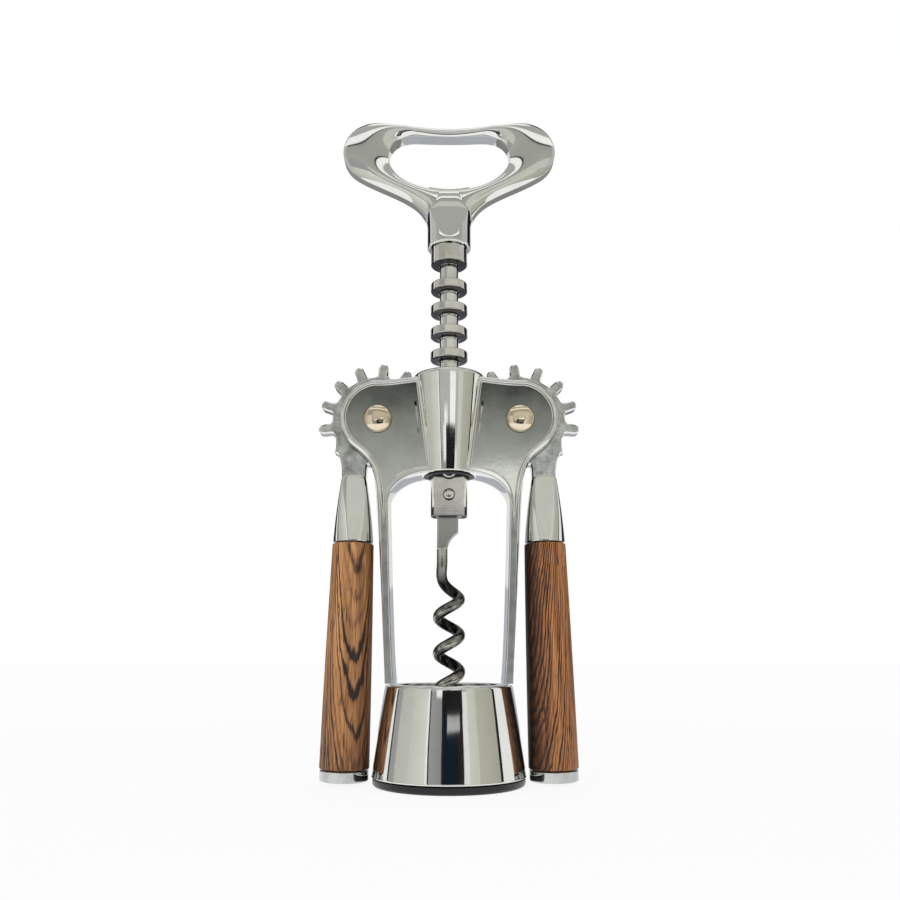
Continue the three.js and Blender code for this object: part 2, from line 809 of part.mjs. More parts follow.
function endCap() {
  const top = gripBottom - fitGap;
  const bore = tangRadius + fitGap;
  return revolved([
    [0, capBottom],
    [capRadius - gripCorner, capBottom],
    [capRadius, capBottom + gripCorner],
    [capRadius, top],
    [capSleeveRadius, top],
    [capSleeveRadius, capSleeveTop],
    [bore, capSleeveTop],
    [bore, capFloor],
    [0, capFloor],
  ], gripSegments);
}

// Stem: rack rings over a slotted block

function rackRing(height) {
  const low = height - half(ringHeight);
  const high = height + half(ringHeight);
  return [
    [grooveRadius, low],
    [ringRadius - ringCorner, low],
    [ringRadius, low + ringCorner],
    [ringRadius, high - ringCorner],
    [ringRadius - ringCorner, high],
    [grooveRadius, high],
  ];
}

function rackStem() {
  const blockTop = firstRingHeight - rackPitch + half(ringHeight);
  const rings = Array.from({ length: ringCount }, (_, ring) => rackRing(firstRingHeight + rackPitch * ring));
  const spigotTop = collarTop + spigotLength;
  const turned = revolved([
    [0, blockBottom],
    [blockRadius, blockBottom],
    [blockRadius, blockTop - ringCorner],
    [blockRadius - ringCorner, blockTop],
    [grooveRadius, blockTop],
    ...rings.flat(),
    [grooveRadius, collarBottom],
    [ringRadius - ringCorner, collarBottom],
    [ringRadius, collarBottom + ringCorner],
    [ringRadius, collarTop],
    [spigotRadius, collarTop],
    [spigotRadius, spigotTop],
    [0, spigotTop],
  ], stemSegments);
  const flatTop = blockTop - ringCorner * 2;
  const flat = block(blockRadius * 2, blockRadius, flatTop - blockBottom + overrun);
  const flatMiddle = half(flatTop + blockBottom - overrun);
  const slotTop = tangPlateTop + fitGap;
  const slot = block(blockRadius * 3, blockSlot * 2, slotTop - blockBottom + overrun);
  return cut(turned, [
    ...[-1, 1].map((face) => moved(flat, 0, face * (blockFlat + half(blockRadius)), flatMiddle)),
    moved(slot, 0, 0, half(slotTop + blockBottom - overrun)),
    ...rivetHoles(),
  ]);
}

function rivetHoles() {
  const hole = (radius, height) => moved(
    crosswise(rod(radius + fitGap, -blockRadius, blockRadius, stemSegments)), 0, 0, height,
  );
  return [hole(lowerRivetRadius, lowerRivetHeight), hole(upperRivetRadius, upperRivetHeight)];
}

function rivet(radius) {
  const face = blockFlat;
  const rim = radius * rivetFaceShare;
  return crosswise(revolved([
    [0, -face - rivetProud],
    [rim, -face - rivetProud],
    [radius, -face],
    [radius, face],
    [rim, face + rivetProud],
    [0, face + rivetProud],
  ], stemSegments));
}

// Worm: centre line of the wire, from the tang down to the point

const startTurn = Math.PI;

function wirePoint(height) {
  const drop = topTurnHeight - height;
  if (drop > 0) {
    const angle = -2 * Math.PI * (drop / helixPitch);
    return new THREE.Vector3(helixRadius * Math.cos(angle), helixRadius * Math.sin(angle), height);
  }
  const span = wireStartHeight - topTurnHeight;
  const share = Math.min(-drop / span, 1);
  const slope = span * 2 * Math.PI / helixPitch;
  const ease = share * share * (3 - 2 * share);
  const angle = slope * share * (1 - share) ** 2 + startTurn * ease;
  const radius = helixRadius + (wireStartRadius - helixRadius) * ease;
  return new THREE.Vector3(radius * Math.cos(angle), radius * Math.sin(angle), height);
}

function wireRadiusAt(height) {
  const share = Math.min((height - tipHeight) / tipTaper, 1);
  return wireRadius * Math.sin(half(Math.PI) * Math.max(share, tipPointShare));
}

function wire() {
  const top = tangNeckHeight + overrun;
  const count = Math.ceil((top - tipHeight) / helixPitch * wireStepsPerTurn);
  const position = [];
  for (let step = 0; step <= count; step += 1) {
    const height = top + (tipHeight - top) * (step / count);
    const here = wirePoint(height);
    const along = wirePoint(height - fitGap).sub(wirePoint(height + fitGap)).normalize();
    const side = new THREE.Vector3(-here.y, here.x, 0).cross(along).normalize();
    const lift = new THREE.Vector3().crossVectors(along, side);
    for (let corner = 0; corner < wireSides; corner += 1) {
      const turn = 2 * Math.PI * corner / wireSides;
      const radius = wireRadiusAt(height);
      const point = here.clone()
        .addScaledVector(side, radius * Math.cos(turn))
        .addScaledVector(lift, radius * Math.sin(turn));
      position.push(point.x, point.y, point.z);
    }
  }
  return solidOf(tubeGeometry(position, wireSides, count + 1));
}

function tubeGeometry(position, sides, rings) {
  const index = [];
  for (let ring = 0; ring + 1 < rings; ring += 1) {
    for (let corner = 0; corner < sides; corner += 1) {
      const here = ring * sides + corner;
      const next = ring * sides + (corner + 1) % sides;
      index.push(here, next, here + sides, next, next + sides, here + sides);
    }
  }
  const last = (rings - 1) * sides;
  for (let corner = 1; corner + 1 < sides; corner += 1) {
    index.push(0, corner + 1, corner);
    index.push(last, last + corner, last + corner + 1);
  }
  const geometry = new THREE.BufferGeometry();
  geometry.setAttribute("position", new THREE.Float32BufferAttribute(position, 3));
  return geometry.setIndex(index);
}

function wormTang() {
  const left = -wireStartRadius - wireRadius;
  const right = -wireStartRadius + wireRadius;
  const path = new THREE.Path();
  path.moveTo(left, tangNeckHeight);
  path.lineTo(right, tangNeckHeight);
  path.quadraticCurveTo(right, half(tangNeckHeight + tangNotchHeight), tangPlateRight, tangNotchHeight);
  path.lineTo(tangPlateRight, blockBottom + fitGap);
  path.lineTo(tangHead, blockBottom + fitGap);
  path.lineTo(tangHead, tangPlateTop);
  path.lineTo(-tangHead, tangPlateTop);
  path.lineTo(-tangHead, blockBottom + fitGap);
  path.lineTo(-tangPlateLeft, blockBottom + fitGap);
  path.lineTo(-tangPlateLeft, tangNotchHeight);
  const thick = half(tangPlateThickness);
  const outline = withoutRepeats(pointsOf(path, smallCurvePoints));
  return drafted(outline, [[thick - rivetProud, 0], [thick, rivetProud]]);
}

function worm() {
  return cut(joined([wire(), wormTang()]), rivetHoles());
}

// Ring handle

function handleOutline() {
  const start = radians(handleLobeStart);
  const end = radians(handleLobeEnd);
  const path = new THREE.Path();
  const low = [lobeCentre + handleLobe * Math.cos(start), handleMiddle + handleLobe * Math.sin(start)];
  const high = [lobeCentre + handleLobe * Math.cos(end), handleMiddle + handleLobe * Math.sin(end)];
  const dip = handleTop - handleDip;
  path.moveTo(neckSide * neckFootShare, neckTop - overrun);
  path.lineTo(neckSide, neckTop);
  path.bezierCurveTo(
    neckSide, neckTop + neckReach,
    low[0] + flankReach * Math.sin(start), low[1] - flankReach * Math.cos(start),
    low[0], low[1],
  );
  path.absarc(lobeCentre, handleMiddle, handleLobe, start, end, false);
  path.bezierCurveTo(
    high[0] - half(flankReach), high[1] - handleDip * topDropShare,
    flankReach * topReachShare, dip,
    0, dip,
  );
  return mirrored(pointsOf(path, ringPoints));
}

// Ring opening, with its widest corners high and a shallow curve below
function handleHoleOutline() {
  const middle = half(holeTop + holeBottom) + handleDip;
  const path = new THREE.Path();
  path.moveTo(0, holeBottom);
  path.bezierCurveTo(
    holeHalfWidth * holeFootShare, holeBottom,
    holeHalfWidth, half(holeBottom + middle),
    holeHalfWidth, middle,
  );
  path.bezierCurveTo(
    holeHalfWidth, holeTop - half(handleDip),
    holeHalfWidth * holeShoulderShare, holeTop + handleDip * holeLiftShares[0],
    holeHalfWidth * holeCornerShare, holeTop + handleDip * holeLiftShares[1],
  );
  path.quadraticCurveTo(holeHalfWidth * holeArchShare, holeTop, 0, holeTop);
  return mirrored(pointsOf(path, smallCurvePoints));
}

// Where the line from a centre to a point crosses a closed outline
function crossing(outline, centre, [x, z]) {
  const aim = new THREE.Vector2(x - centre[0], z - centre[1]);
  const corners = outline.map((corner) => new THREE.Vector2(corner[0] - centre[0], corner[1] - centre[1]));
  for (let place = 0; place < corners.length; place += 1) {
    const from = corners[place];
    const to = corners[(place + 1) % corners.length];
    const before = aim.cross(from);
    const after = aim.cross(to);
    if (before <= 0 && after > 0 && aim.dot(from) + aim.dot(to) > 0) {
      const point = from.clone().lerp(to, before / (before - after));
      return [centre[0] + point.x, centre[1] + point.y];
    }
  }
  throw new Error("the handle's opening isn't closed round its centre");
}

// Half depth of the ring: flat walls at its outer edge and at the opening, and a crown between them
function ringDepthAt(share, width) {
  const crown = Math.min(ringCrown, width * ringCrownShare);
  return mixed(outerWallDepth, holeWallDepth, share) + crown * (4 * share * (1 - share)) ** ringCrownCurve;
}

function ringBody() {
  const outer = handleOutline();
  const hole = handleHoleOutline();
  const centre = [0, half(holeTop + holeBottom)];
  const position = [];
  for (const [x, z] of outer) {
    const [holeX, holeZ] = crossing(hole, centre, [x, z]);
    const width = Math.hypot(x - holeX, z - holeZ);
    const section = ringStrips.map(
      (share) => [mixed(x, holeX, share), ringDepthAt(share, width), mixed(z, holeZ, share)],
    );
    const front = section.map(([sectionX, depth, sectionZ]) => [sectionX, -depth, sectionZ]);
    position.push(...front.flat(), ...section.reverse().flat());
  }
  return solidOf(wheelGeometry(position, 2 * ringStrips.length, outer.length));
}

// Closed rings of points, joined one to the next and the last to the first
function wheelGeometry(position, sides, rings) {
  const index = [];
  for (let ring = 0; ring < rings; ring += 1) {
    for (let corner = 0; corner < sides; corner += 1) {
      const here = ring * sides;
      const there = (ring + 1) % rings * sides;
      const next = (corner + 1) % sides;
      index.push(here + corner, there + next, here + next);
      index.push(here + corner, there + corner, there + next);
    }
  }
  const geometry = new THREE.BufferGeometry();
  geometry.setAttribute("position", new THREE.Float32BufferAttribute(position, 3));
  return geometry.setIndex(index);
}

// Raised lip at the foot of the opening, that catches a bottle's cap
function openerLip() {
  const wide = half(openerWidth);
  const path = new THREE.Path();
  path.moveTo(-wide, holeBottom - openerRoot);
  path.lineTo(wide, holeBottom - openerRoot);
  path.lineTo(wide, holeBottom + openerRise);
  path.quadraticCurveTo(0, holeBottom + openerRise - 2 * openerDip, -wide, holeBottom + openerRise);
  const outline = withoutRepeats(pointsOf(path, smallCurvePoints));
  return drafted(outline, [[holeWallDepth, 0]]);
}

// Neck: round, with flat sides and a leaning facet at the front and the back
function handleNeck() {
  const top = holeBottom - half(handleDip);
  const rise = top - neckTop;
  const round = revolved([
    [0, neckBottom],
    [neckRadius, neckBottom],
    ...neckShares.map(([across, up]) => [neckRadius * across, neckTop + rise * up]),
    [0, top],
  ], gripSegments);
  const lean = radians(neckFacetLean);
  const footDepth = neckRadius - neckFacetInset;
  const footHeight = neckBottom + neckFacetRise;
  const reach = footDepth * Math.cos(lean) + footHeight * Math.sin(lean);
  return [-1, 1].reduce((rest, face) => rest
    .trimByPlane([0, -face * Math.cos(lean), -Math.sin(lean)], -reach)
    .trimByPlane([-face, 0, 0], -neckSide), round);
}

function handleRing() {
  const body = joined([ringBody(), openerLip(), handleNeck()]);
  const socketTop = collarTop + spigotLength + fitGap;
  return cut(body, [
    rod(ringRadius + fitGap, neckBottom - overrun, collarTop + fitGap, gripSegments),
    rod(spigotRadius + fitGap, neckBottom, socketTop, gripSegments),
  ]);
}

// Assembly

function leverGroup(side) {
  const name = side < 0 ? "left" : "right";
  const group = new THREE.Group();
  group.position.x = axisFoot * side;
  group.rotation.y = -radians(axisLean) * side;
  group.add(meshOf(`${name}_grip`, grip(), walnut));
  group.add(meshOf(`${name}_end_cap`, endCap(), chrome));
  return group;
}

function pivotGroup(side) {
  const name = side < 0 ? "left" : "right";
  const group = new THREE.Group();
  group.position.set(pivotX * side, 0, pivotHeight);
  group.add(meshOf(`${name}_pivot_pin`, pivotPin(), nickel));
  group.add(meshOf(`${name}_pivot_cap`, pivotCap(), nickel));
  group.add(meshOf(`${name}_front_washer`, pivotWasher(-1), brass));
  group.add(meshOf(`${name}_rear_washer`, pivotWasher(1), brass));
  return group;
}

function rivetMesh(name, radius, height) {
  const mesh = meshOf(name, rivet(radius), steel);
  mesh.position.z = height;
  return mesh;
}

const corkscrew = new THREE.Group();
corkscrew.add(
  meshOf("frame_casting", frameCasting(), chrome),
  meshOf("bell", bell(), chrome),
  meshOf("bell_seal_ring", bellSealRing(), rubber),
  meshOf("guide_bush", guideBush(), gunmetal),
  meshOf("rack_stem", rackStem(), steel),
  meshOf("handle_ring", handleRing(), chrome),
  meshOf("worm", worm(), gunmetal),
  rivetMesh("lower_worm_rivet", lowerRivetRadius, lowerRivetHeight),
  rivetMesh("upper_worm_rivet", upperRivetRadius, upperRivetHeight),
);
for (const side of [-1, 1]) {
  corkscrew.add(
    meshOf(side < 0 ? "left_lever" : "right_lever", lever(side), chrome),
    pivotGroup(side),
    leverGroup(side),
  );
}

export default corkscrew;
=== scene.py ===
import math

import bmesh
import bpy
from mathutils import Matrix, Vector


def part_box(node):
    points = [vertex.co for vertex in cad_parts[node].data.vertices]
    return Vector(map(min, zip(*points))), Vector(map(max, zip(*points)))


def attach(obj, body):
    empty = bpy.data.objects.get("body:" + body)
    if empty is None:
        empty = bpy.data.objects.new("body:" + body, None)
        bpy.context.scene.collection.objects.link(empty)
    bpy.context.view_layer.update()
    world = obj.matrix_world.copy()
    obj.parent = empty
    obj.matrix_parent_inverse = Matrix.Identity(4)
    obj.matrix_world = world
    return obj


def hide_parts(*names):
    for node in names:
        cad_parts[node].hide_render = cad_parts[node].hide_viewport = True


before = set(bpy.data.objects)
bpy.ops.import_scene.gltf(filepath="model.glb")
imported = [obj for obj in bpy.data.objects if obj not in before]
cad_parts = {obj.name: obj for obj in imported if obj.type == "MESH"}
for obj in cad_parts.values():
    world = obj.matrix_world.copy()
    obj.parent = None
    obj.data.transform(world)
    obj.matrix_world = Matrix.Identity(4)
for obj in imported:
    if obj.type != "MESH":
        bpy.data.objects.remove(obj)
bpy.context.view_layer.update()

bl_info = {
    "name": "Winged Corkscrew",
    "version": (1, 0, 0),
    "blender": (4, 5, 0),
    "location": "3D View > Sidebar > Corkscrew",
    "description": "Builds a chromed winged corkscrew with wooden grips round its solid frame",
    "category": "Mesh",
}

# Sizes are in millimetres, and become metres when a mesh is finished. FIT is the usual gap between
# pieces, OVERRUN is how far a cutter goes beyond what it cuts, and creases are in degrees.
MM = 0.001
FIT = 0.3
OVERRUN = 2
SMALL_CREASE = 40
SIDES = {"left": -1, "right": 1}


def box_mm(node):
    """Lowest and highest corner of a solid, in millimetres."""
    low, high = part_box(node)
    return low / MM, high / MM


BELL_LOW, BELL_HIGH = box_mm("bell")
HANDLE_TOP = box_mm("handle_ring")[1].z
SEAL_TOP = box_mm("bell_seal_ring")[1].z

# Bell and rubber ring
BELL_RADIUS = BELL_HIGH.x
BELL_TOP = BELL_HIGH.z
BELL_TOP_RADIUS = BELL_RADIUS - 3.25
BELL_MOUTH = 13.5
BELL_WALL = 1.7
BELL_BULGE = 0.5
BELL_FLANGE = 2.3
SEAL_HEIGHT = 1.9
SEAL_WIDTH = 3.3
SEAL_LEAN = 0.6

# Pivots, cheeks and legs
PIVOT_X = 19.6
PIVOT_Z = 95.5
CHEEK_DEPTH = 6.0
LOBE_RADIUS = 11.3
LOBE_X = PIVOT_X - 0.2
LOBE_Z = PIVOT_Z + 0.5
SHOULDER_Z = PIVOT_Z + 12.7
SHOULDER_X = 9.6
FOOT_Z = BELL_TOP + FIT
FOOT_OUTER = 16.4
FOOT_INNER = 13.65
KNEE_X = PIVOT_X + 0.4
KNEE_Z = PIVOT_Z - 21.5
LEG_LEAN = (KNEE_X - FOOT_OUTER) / (KNEE_Z - FOOT_Z)
WINDOW_X = KNEE_X - 4.15
WINDOW_Z = PIVOT_Z - 23.5
ARCH_TOP = PIVOT_Z - 15.7
ARCH_FLAT = 4.6
RIM_WIDTH = 1.25
EDGE_DRAFT = 0.8
LEG_RIM = 0.54
FIELD_SINK = 1.0
FIELD_TIP_Z = PIVOT_Z - 28.5
FIELD_FLOOR = CHEEK_DEPTH - FIELD_SINK
FIELD_FILLET = 0.28
FIELD_CORNER = 0.5
FOOT_HEIGHT = 0.9
# How far the cheek's curves hold the direction of their ends
ANKLE_PULL = 8.4
KNEE_PULL = 10.5
LOBE_PULL = 4.5
LOBE_TOP_PULL = 5.5
SHOULDER_PULL = 2.75

# Boss and bush
BOSS_TOP = PIVOT_Z + 13.5
BOSS_BOTTOM = PIVOT_Z - 15
BOSS_TOP_RADIUS = 10.5
BOSS_BOTTOM_RADIUS = 7.4
BUSH_RADIUS = 6.1
BUSH_FLANGE_RADIUS = 6.9
BUSH_FLANGE = 0.35
BUSH_HEIGHT = 5.2
SLIT_WIDTH = 0.6
SLIT_HEIGHT = 9.5
SLIT_SHIFT = 0.45

# Gears and levers
TOOTH_COUNT = 14
SECTOR_TEETH = 9
TOOTH_ANGLE = 360 / TOOTH_COUNT
TOOTH_PHASE = 8.5
GEAR_TIP = 16.7
GEAR_ROOT = 12.75
TOOTH_HALF_WIDTH = 1.375
GEAR_THICKNESS = 4.0
SLOT_DEPTH = 3.2
TIP_ROOM = 0.52
SPUR_RADIUS = GEAR_TIP - 1.75
SPUR_ANGLE = TOOTH_PHASE + TOOTH_ANGLE * (SECTOR_TEETH - 2) + 28.5
HUB_END_ANGLE = 103
ARM_LENGTH = 24.0
ARM_WIDTH = 6.7
AXIS_FOOT = 26.89
AXIS_LEAN = 0.834
FERRULE_TOP = 80.4
FERRULE_BOTTOM = 61.8
FERRULE_TOP_WIDE = 3.4
FERRULE_TOP_DEEP = 2.35
FERRULE_SHIFT = 0.4
FERRULE_SQUARENESS = 4.6
FERRULE_ARCH = 0.9
FERRULE_RADIUS = 5.42
SHANK_RADIUS = 1.9
GRIP_BORE = 2.2
GRIP_SWELL = 0.36
GRIP_TOP = 61.5
GRIP_BOTTOM = 3.9
GRIP_TOP_RADIUS = 5.55
GRIP_BOTTOM_RADIUS = 6.42
CAP_BOTTOM = 0.9
END_CAP_INSET = 0.12

# Stem, rivets and worm
RING_RADIUS = 5.3
GROOVE_RADIUS = 2.7
RACK_PITCH = 7.0
RING_COUNT = 7
FIRST_RING_Z = 93.9
RING_HEIGHT = 2.7
BLOCK_RADIUS = 5.2
BLOCK_FLAT = 3.3
BLOCK_BOTTOM = 68.9
BLOCK_SLOT = 1.6
BLOCK_SLOT_TOP = BLOCK_BOTTOM + 15.4
BLOCK_FLAT_TOP = 87.4
SPIGOT_RADIUS = 3.0
SPIGOT_HEIGHT = 8
RIVET_DOME = 0.5
RIVETS = {"lower": (1.7, BLOCK_BOTTOM + 5.7), "upper": (2.15, BLOCK_BOTTOM + 12.0)}
COLLAR_BOTTOM = 142.9
COLLAR_TOP = 148.9
PIN_RADIUS = 2.2
PIN_HEAD_RADIUS = 4.0
PIN_HEAD_HEIGHT = 2.2
HEAD_SEAT = FIELD_FLOOR + FIT
CAP_WALL = 0.8
WASHER_BORE = 2.5
WASHER_RADIUS = 4.5
WIRE_RADIUS = 1.45
WIRE_SIDES = 24
WIRE_STEPS = 40
WIRE_OVERLAP = 0.8
WIRE_POINT = 7
FLATTENING = 2.5
HELIX_RADIUS = 2.85
HELIX_PITCH = 9.4
TANG_HALF_DEPTH = 1.3
TANG_LEFT = 3.2
TANG_RIGHT = 2.5
TANG_HEAD = 3.55
TANG_TOP = BLOCK_BOTTOM + 15.1
TANG_NECK_Z = BLOCK_BOTTOM - 8.9
TANG_NOTCH_Z = TANG_NECK_Z + 4.5
WIRE_START_Z = TANG_NECK_Z - 3
WIRE_START_RADIUS = HELIX_RADIUS - 1
TOP_TURN_Z = WIRE_START_Z - 10.3
TIP_Z = TOP_TURN_Z - 37.7

# Ring handle
NECK_BOTTOM = 148.2
NECK_TOP = 154.0
NECK_RADIUS = 6.5
NECK_SIDE = 6.3
HANDLE_DIP = 2.0
OUTER_WALL = 1.5
HOLE_WALL = 2.2
RING_CROWN = 1.9
HANDLE_HALF_WIDTH = 31.8
HANDLE_LOBE = 9.8
LOBE_CENTRE = HANDLE_HALF_WIDTH - HANDLE_LOBE
HANDLE_MIDDLE = HANDLE_TOP - HANDLE_LOBE
HOLE_HALF_WIDTH = 18.1
HOLE_TOP = HANDLE_TOP - 5.1
HOLE_BOTTOM = NECK_BOTTOM + 18.3
OPENER_HALF_WIDTH = 6.0
OPENER_ROOT = 2.5
OPENER_HORN = 1.1
OPENER_HOLLOW = 0.3
FACET_LEAN = 15.5
FACET_FOOT = NECK_BOTTOM + 2.2
# How far the handle's curves hold the direction of their ends
NECK_PULL = 9.5
HANDLE_PULL = 11
CREST_PULL = 5.5
CREST_DROP = 0.6
DIP_PULL = 7.15


def half(value):
    return value / 2


def mixed(first, second, share):
    return first + (second - first) * share


def smooth(share):
    share = min(max(share, 0), 1)
    return share * share * (3 - 2 * share)


def quarter(steps, first=0):
    """Sine and cosine at even steps of a right angle."""
    turns = [math.radians(90) * step / steps for step in range(first, steps + 1)]
    return [(math.sin(turn), math.cos(turn)) for turn in turns]


def polar(radius, degrees, across=0, centre=(0, 0)):
    """Point at a radius and an angle round a centre, moved across the radius."""
    angle = math.radians(degrees)
    x = radius * math.cos(angle) - across * math.sin(angle)
    z = radius * math.sin(angle) + across * math.cos(angle)
    return (centre[0] + x, centre[1] + z)


def linear(level):
    level = min(max(level, 0), 1)
    return level / 12.92 if level < 0.04045 else ((level + 0.055) / 1.055) ** 2.4


def paint(red, green, blue):
    """Linear colour of a display colour given from 0 to 255."""
    return tuple(linear(level / 255) for level in (red, green, blue))


# Outlines are lists of (x, z), counter-clockwise from the front


class Outline:
    """A line in the XZ plane that is drawn piece by piece."""

    def __init__(self, x, z):
        self.points = [(x, z)]

    def line(self, x, z):
        self.points.append((x, z))

    def bend(self, control, end, steps=12):
        start = self.points[-1]
        for step in range(1, steps + 1):
            t = step / steps
            weights = ((1 - t) ** 2, 2 * t * (1 - t), t * t)
            self.points.append(weighted((start, control, end), weights))

    def curve(self, control, other, end, steps=20):
        start = self.points[-1]
        for step in range(1, steps + 1):
            t = step / steps
            rest = 1 - t
            weights = (rest**3, 3 * rest * rest * t, 3 * rest * t * t, t**3)
            self.points.append(weighted((start, control, other, end), weights))

    def arc(self, centre, radius, start, end, steps=36):
        for step in range(steps + 1):
            self.points.append(polar(radius, mixed(start, end, step / steps), 0, centre))


def weighted(points, weights):
    x = sum(point[0] * weight for point, weight in zip(points, weights))
    z = sum(point[1] * weight for point, weight in zip(points, weights))
    return (x, z)


def without_repeats(points, least=0.03):
    kept = []
    for point in points:
        if not kept or math.dist(point, kept[-1]) > least:
            kept.append(point)
    if math.dist(kept[0], kept[-1]) <= least:
        kept.pop()
    return kept


def mirrored(right_half):
    """Whole outline of a right half that is drawn upwards from the middle line."""
    return without_repeats(right_half + [(-x, z) for x, z in reversed(right_half)])


def flipped(outline):
    """The outline's mirror image in the middle plane, still counter-clockwise."""
    return [(-x, z) for x, z in reversed(outline)]


def rounded(points, radii, steps=6, closed=True):
    """Corners of a polygon turned into arcs. Radii holds one radius, or one for each corner."""
    done = []
    count = len(points)
    for index, corner in enumerate(points):
        radius = radii[index] if isinstance(radii, (list, tuple)) else radii
        ends = not closed and index in (0, count - 1)
        if radius <= 0 or ends:
            done.append(tuple(corner))
            continue
        done.extend(corner_arc(points[index - 1], corner, points[(index + 1) % count], radius, steps))
    return done


def corner_arc(before, corner, after, radius, steps):
    corner = Vector(corner)
    into = Vector(before) - corner
    out = Vector(after) - corner
    reach = 0.48 * min(into.length, out.length)
    into.normalize()
    out.normalize()
    angle = into.angle(out)
    if angle > math.radians(175):
        return [tuple(corner)]
    back = min(radius / math.tan(half(angle)), reach)
    radius = back * math.tan(half(angle))
    centre = corner + (into + out).normalized() * (radius / math.sin(half(angle)))
    start = corner + into * back - centre
    end = corner + out * back - centre
    sweep = start.angle(end)
    arc = []
    for step in range(steps + 1):
        share = step / steps
        spoke = start * math.sin((1 - share) * sweep) + end * math.sin(share * sweep)
        arc.append(tuple(centre + spoke / math.sin(sweep)))
    return arc


def inward_directions(outline):
    """Inward direction at each corner, lengthened so that both edges move by one unit."""
    count = len(outline)
    directions = []
    for index, (x, z) in enumerate(outline):
        before = outline[index - 1]
        after = outline[(index + 1) % count]
        into = Vector((x - before[0], z - before[1])).normalized()
        out = Vector((after[0] - x, after[1] - z)).normalized()
        inward = Vector((-into.y - out.y, into.x + out.x)).normalized()
        reach = max(inward.x * -into.y + inward.y * into.x, 0.5)
        directions.append(inward / reach)
    return directions


# Solids, in millimetres until they are finished


def solid(name, vertices, faces):
    mesh = bpy.data.meshes.new(name)
    mesh.from_pydata([tuple(vertex) for vertex in vertices], [], faces)
    mesh.validate()
    made = bpy.data.objects.new(name, mesh)
    bpy.context.scene.collection.objects.link(made)
    return made


def skinned(name, rings, flip=False):
    """A closed skin over rings that have equally many corners, flat at both ends."""
    count = len(rings[0])
    vertices = [corner for ring in rings for corner in ring]
    last = len(vertices) - count
    ends = [tuple(range(count)), tuple(last + corner for corner in reversed(range(count)))]
    if flip:
        ends = [end[::-1] for end in ends]
    return solid(name, vertices, joined(len(rings), count, False, flip) + ends)


def joined(rings, count, closed, flip):
    """Quads between rings of corners, each to the next, and the last to the first if closed."""
    faces = []
    for ring in range(rings if closed else rings - 1):
        here, there = ring * count, (ring + 1) % rings * count
        for corner in range(count):
            after = (corner + 1) % count
            face = (here + corner, there + corner, there + after, here + after)
            faces.append((face[0], *face[:0:-1]) if flip else face)
    return faces


def lofted(name, outline, levels, share=None):
    """A cast wall: the outline drawn inwards by an inset at each depth, from the front to the back."""
    directions = inward_directions(outline)
    rings = []
    for depth, inset in levels:
        ring = []
        for (x, z), direction in zip(outline, directions):
            move = inset * (share(x, z) if share else 1)
            ring.append((x + direction.x * move, depth, z + direction.y * move))
        rings.append(ring)
    return skinned(name, rings)


def to_front(levels):
    """The same steps on the front side of the parting plane."""
    return [(-depth, inset) for depth, inset in reversed(levels)]


def both_ways(levels):
    """Steps from the parting plane outwards, on both sides of it."""
    return to_front(levels) + [level for level in levels if level[0] > 0]


def cast_edge(depth, draft, radius, steps=7):
    """Steps of a drafted wall that ends in a rounded edge."""
    levels = [(0, 0), (depth - radius, draft)]
    for rise, run in quarter(steps, 1):
        levels.append((depth - radius + radius * rise, draft + radius * (1 - run)))
    return levels


def flared_edge(depth, draft, radius, steps=6):
    """Steps of a cutter whose opening is rounded over at the surface, and that goes on beyond it."""
    levels = [(0, 0), (depth - radius, -draft)]
    for rise, run in quarter(steps, 1):
        levels.append((depth - radius + radius * rise, -draft - radius * (1 - run)))
    return levels + [(depth + 0.6, -draft - radius - 0.05)]


def revolved(name, profile, segments=96):
    """A profile of (radius, height), drawn counter-clockwise, turned about the Z axis."""
    vertices = []
    rings = []
    for radius, height in profile:
        if radius <= 1e-6:
            rings.append([len(vertices)] * segments)
            vertices.append((0, 0, height))
            continue
        ring = []
        for segment in range(segments):
            angle = 2 * math.pi * segment / segments
            ring.append(len(vertices))
            vertices.append((radius * math.cos(angle), radius * math.sin(angle), height))
        rings.append(ring)
    on_axis = profile[0][0] <= 1e-6 and profile[-1][0] <= 1e-6
    pairs = list(zip(rings, rings[1:]))
    if not on_axis:
        pairs.append((rings[-1], rings[0]))
    faces = []
    for low, high in pairs:
        for segment in range(segments):
            after = (segment + 1) % segments
            face = [low[segment], low[after], high[after], high[segment]]
            face = [corner for place, corner in enumerate(face) if corner not in face[:place]]
            if len(face) > 2:
                faces.append(tuple(face))
    return solid(name, vertices, faces)


def rod(radius, bottom, top, segments=64):
    return revolved("rod", [(0, bottom), (radius, bottom), (radius, top), (0, top)], segments)


def cross_bore(radius, reach, x, z, segments=48):
    """Round cutter from the front to the back."""
    return moved(crosswise(rod(radius, -reach, reach, segments)), x, 0, z)


def block(width, depth, height, centre):
    x, y, z = half(width), half(depth), half(height)
    outline = [(-x, -z), (x, -z), (x, z), (-x, z)]
    made = lofted("block", outline, [(-y, 0), (y, 0)])
    return moved(made, *centre)


def moved(made, x, y, z):
    made.data.transform(Matrix.Translation((x, y, z)))
    return made


def turned(made, axis, degrees):
    made.data.transform(Matrix.Rotation(math.radians(degrees), 4, axis))
    return made


def crosswise(made):
    """The same, with the axis along Y: heights run from the front towards the back."""
    return turned(made, "X", -90)


def on_side(made, side):
    """The left piece as it is, or mirrored to the right."""
    if side > 0:
        made.data.transform(Matrix.Scale(-1, 4, (1, 0, 0)))
        made.data.flip_normals()
    return made


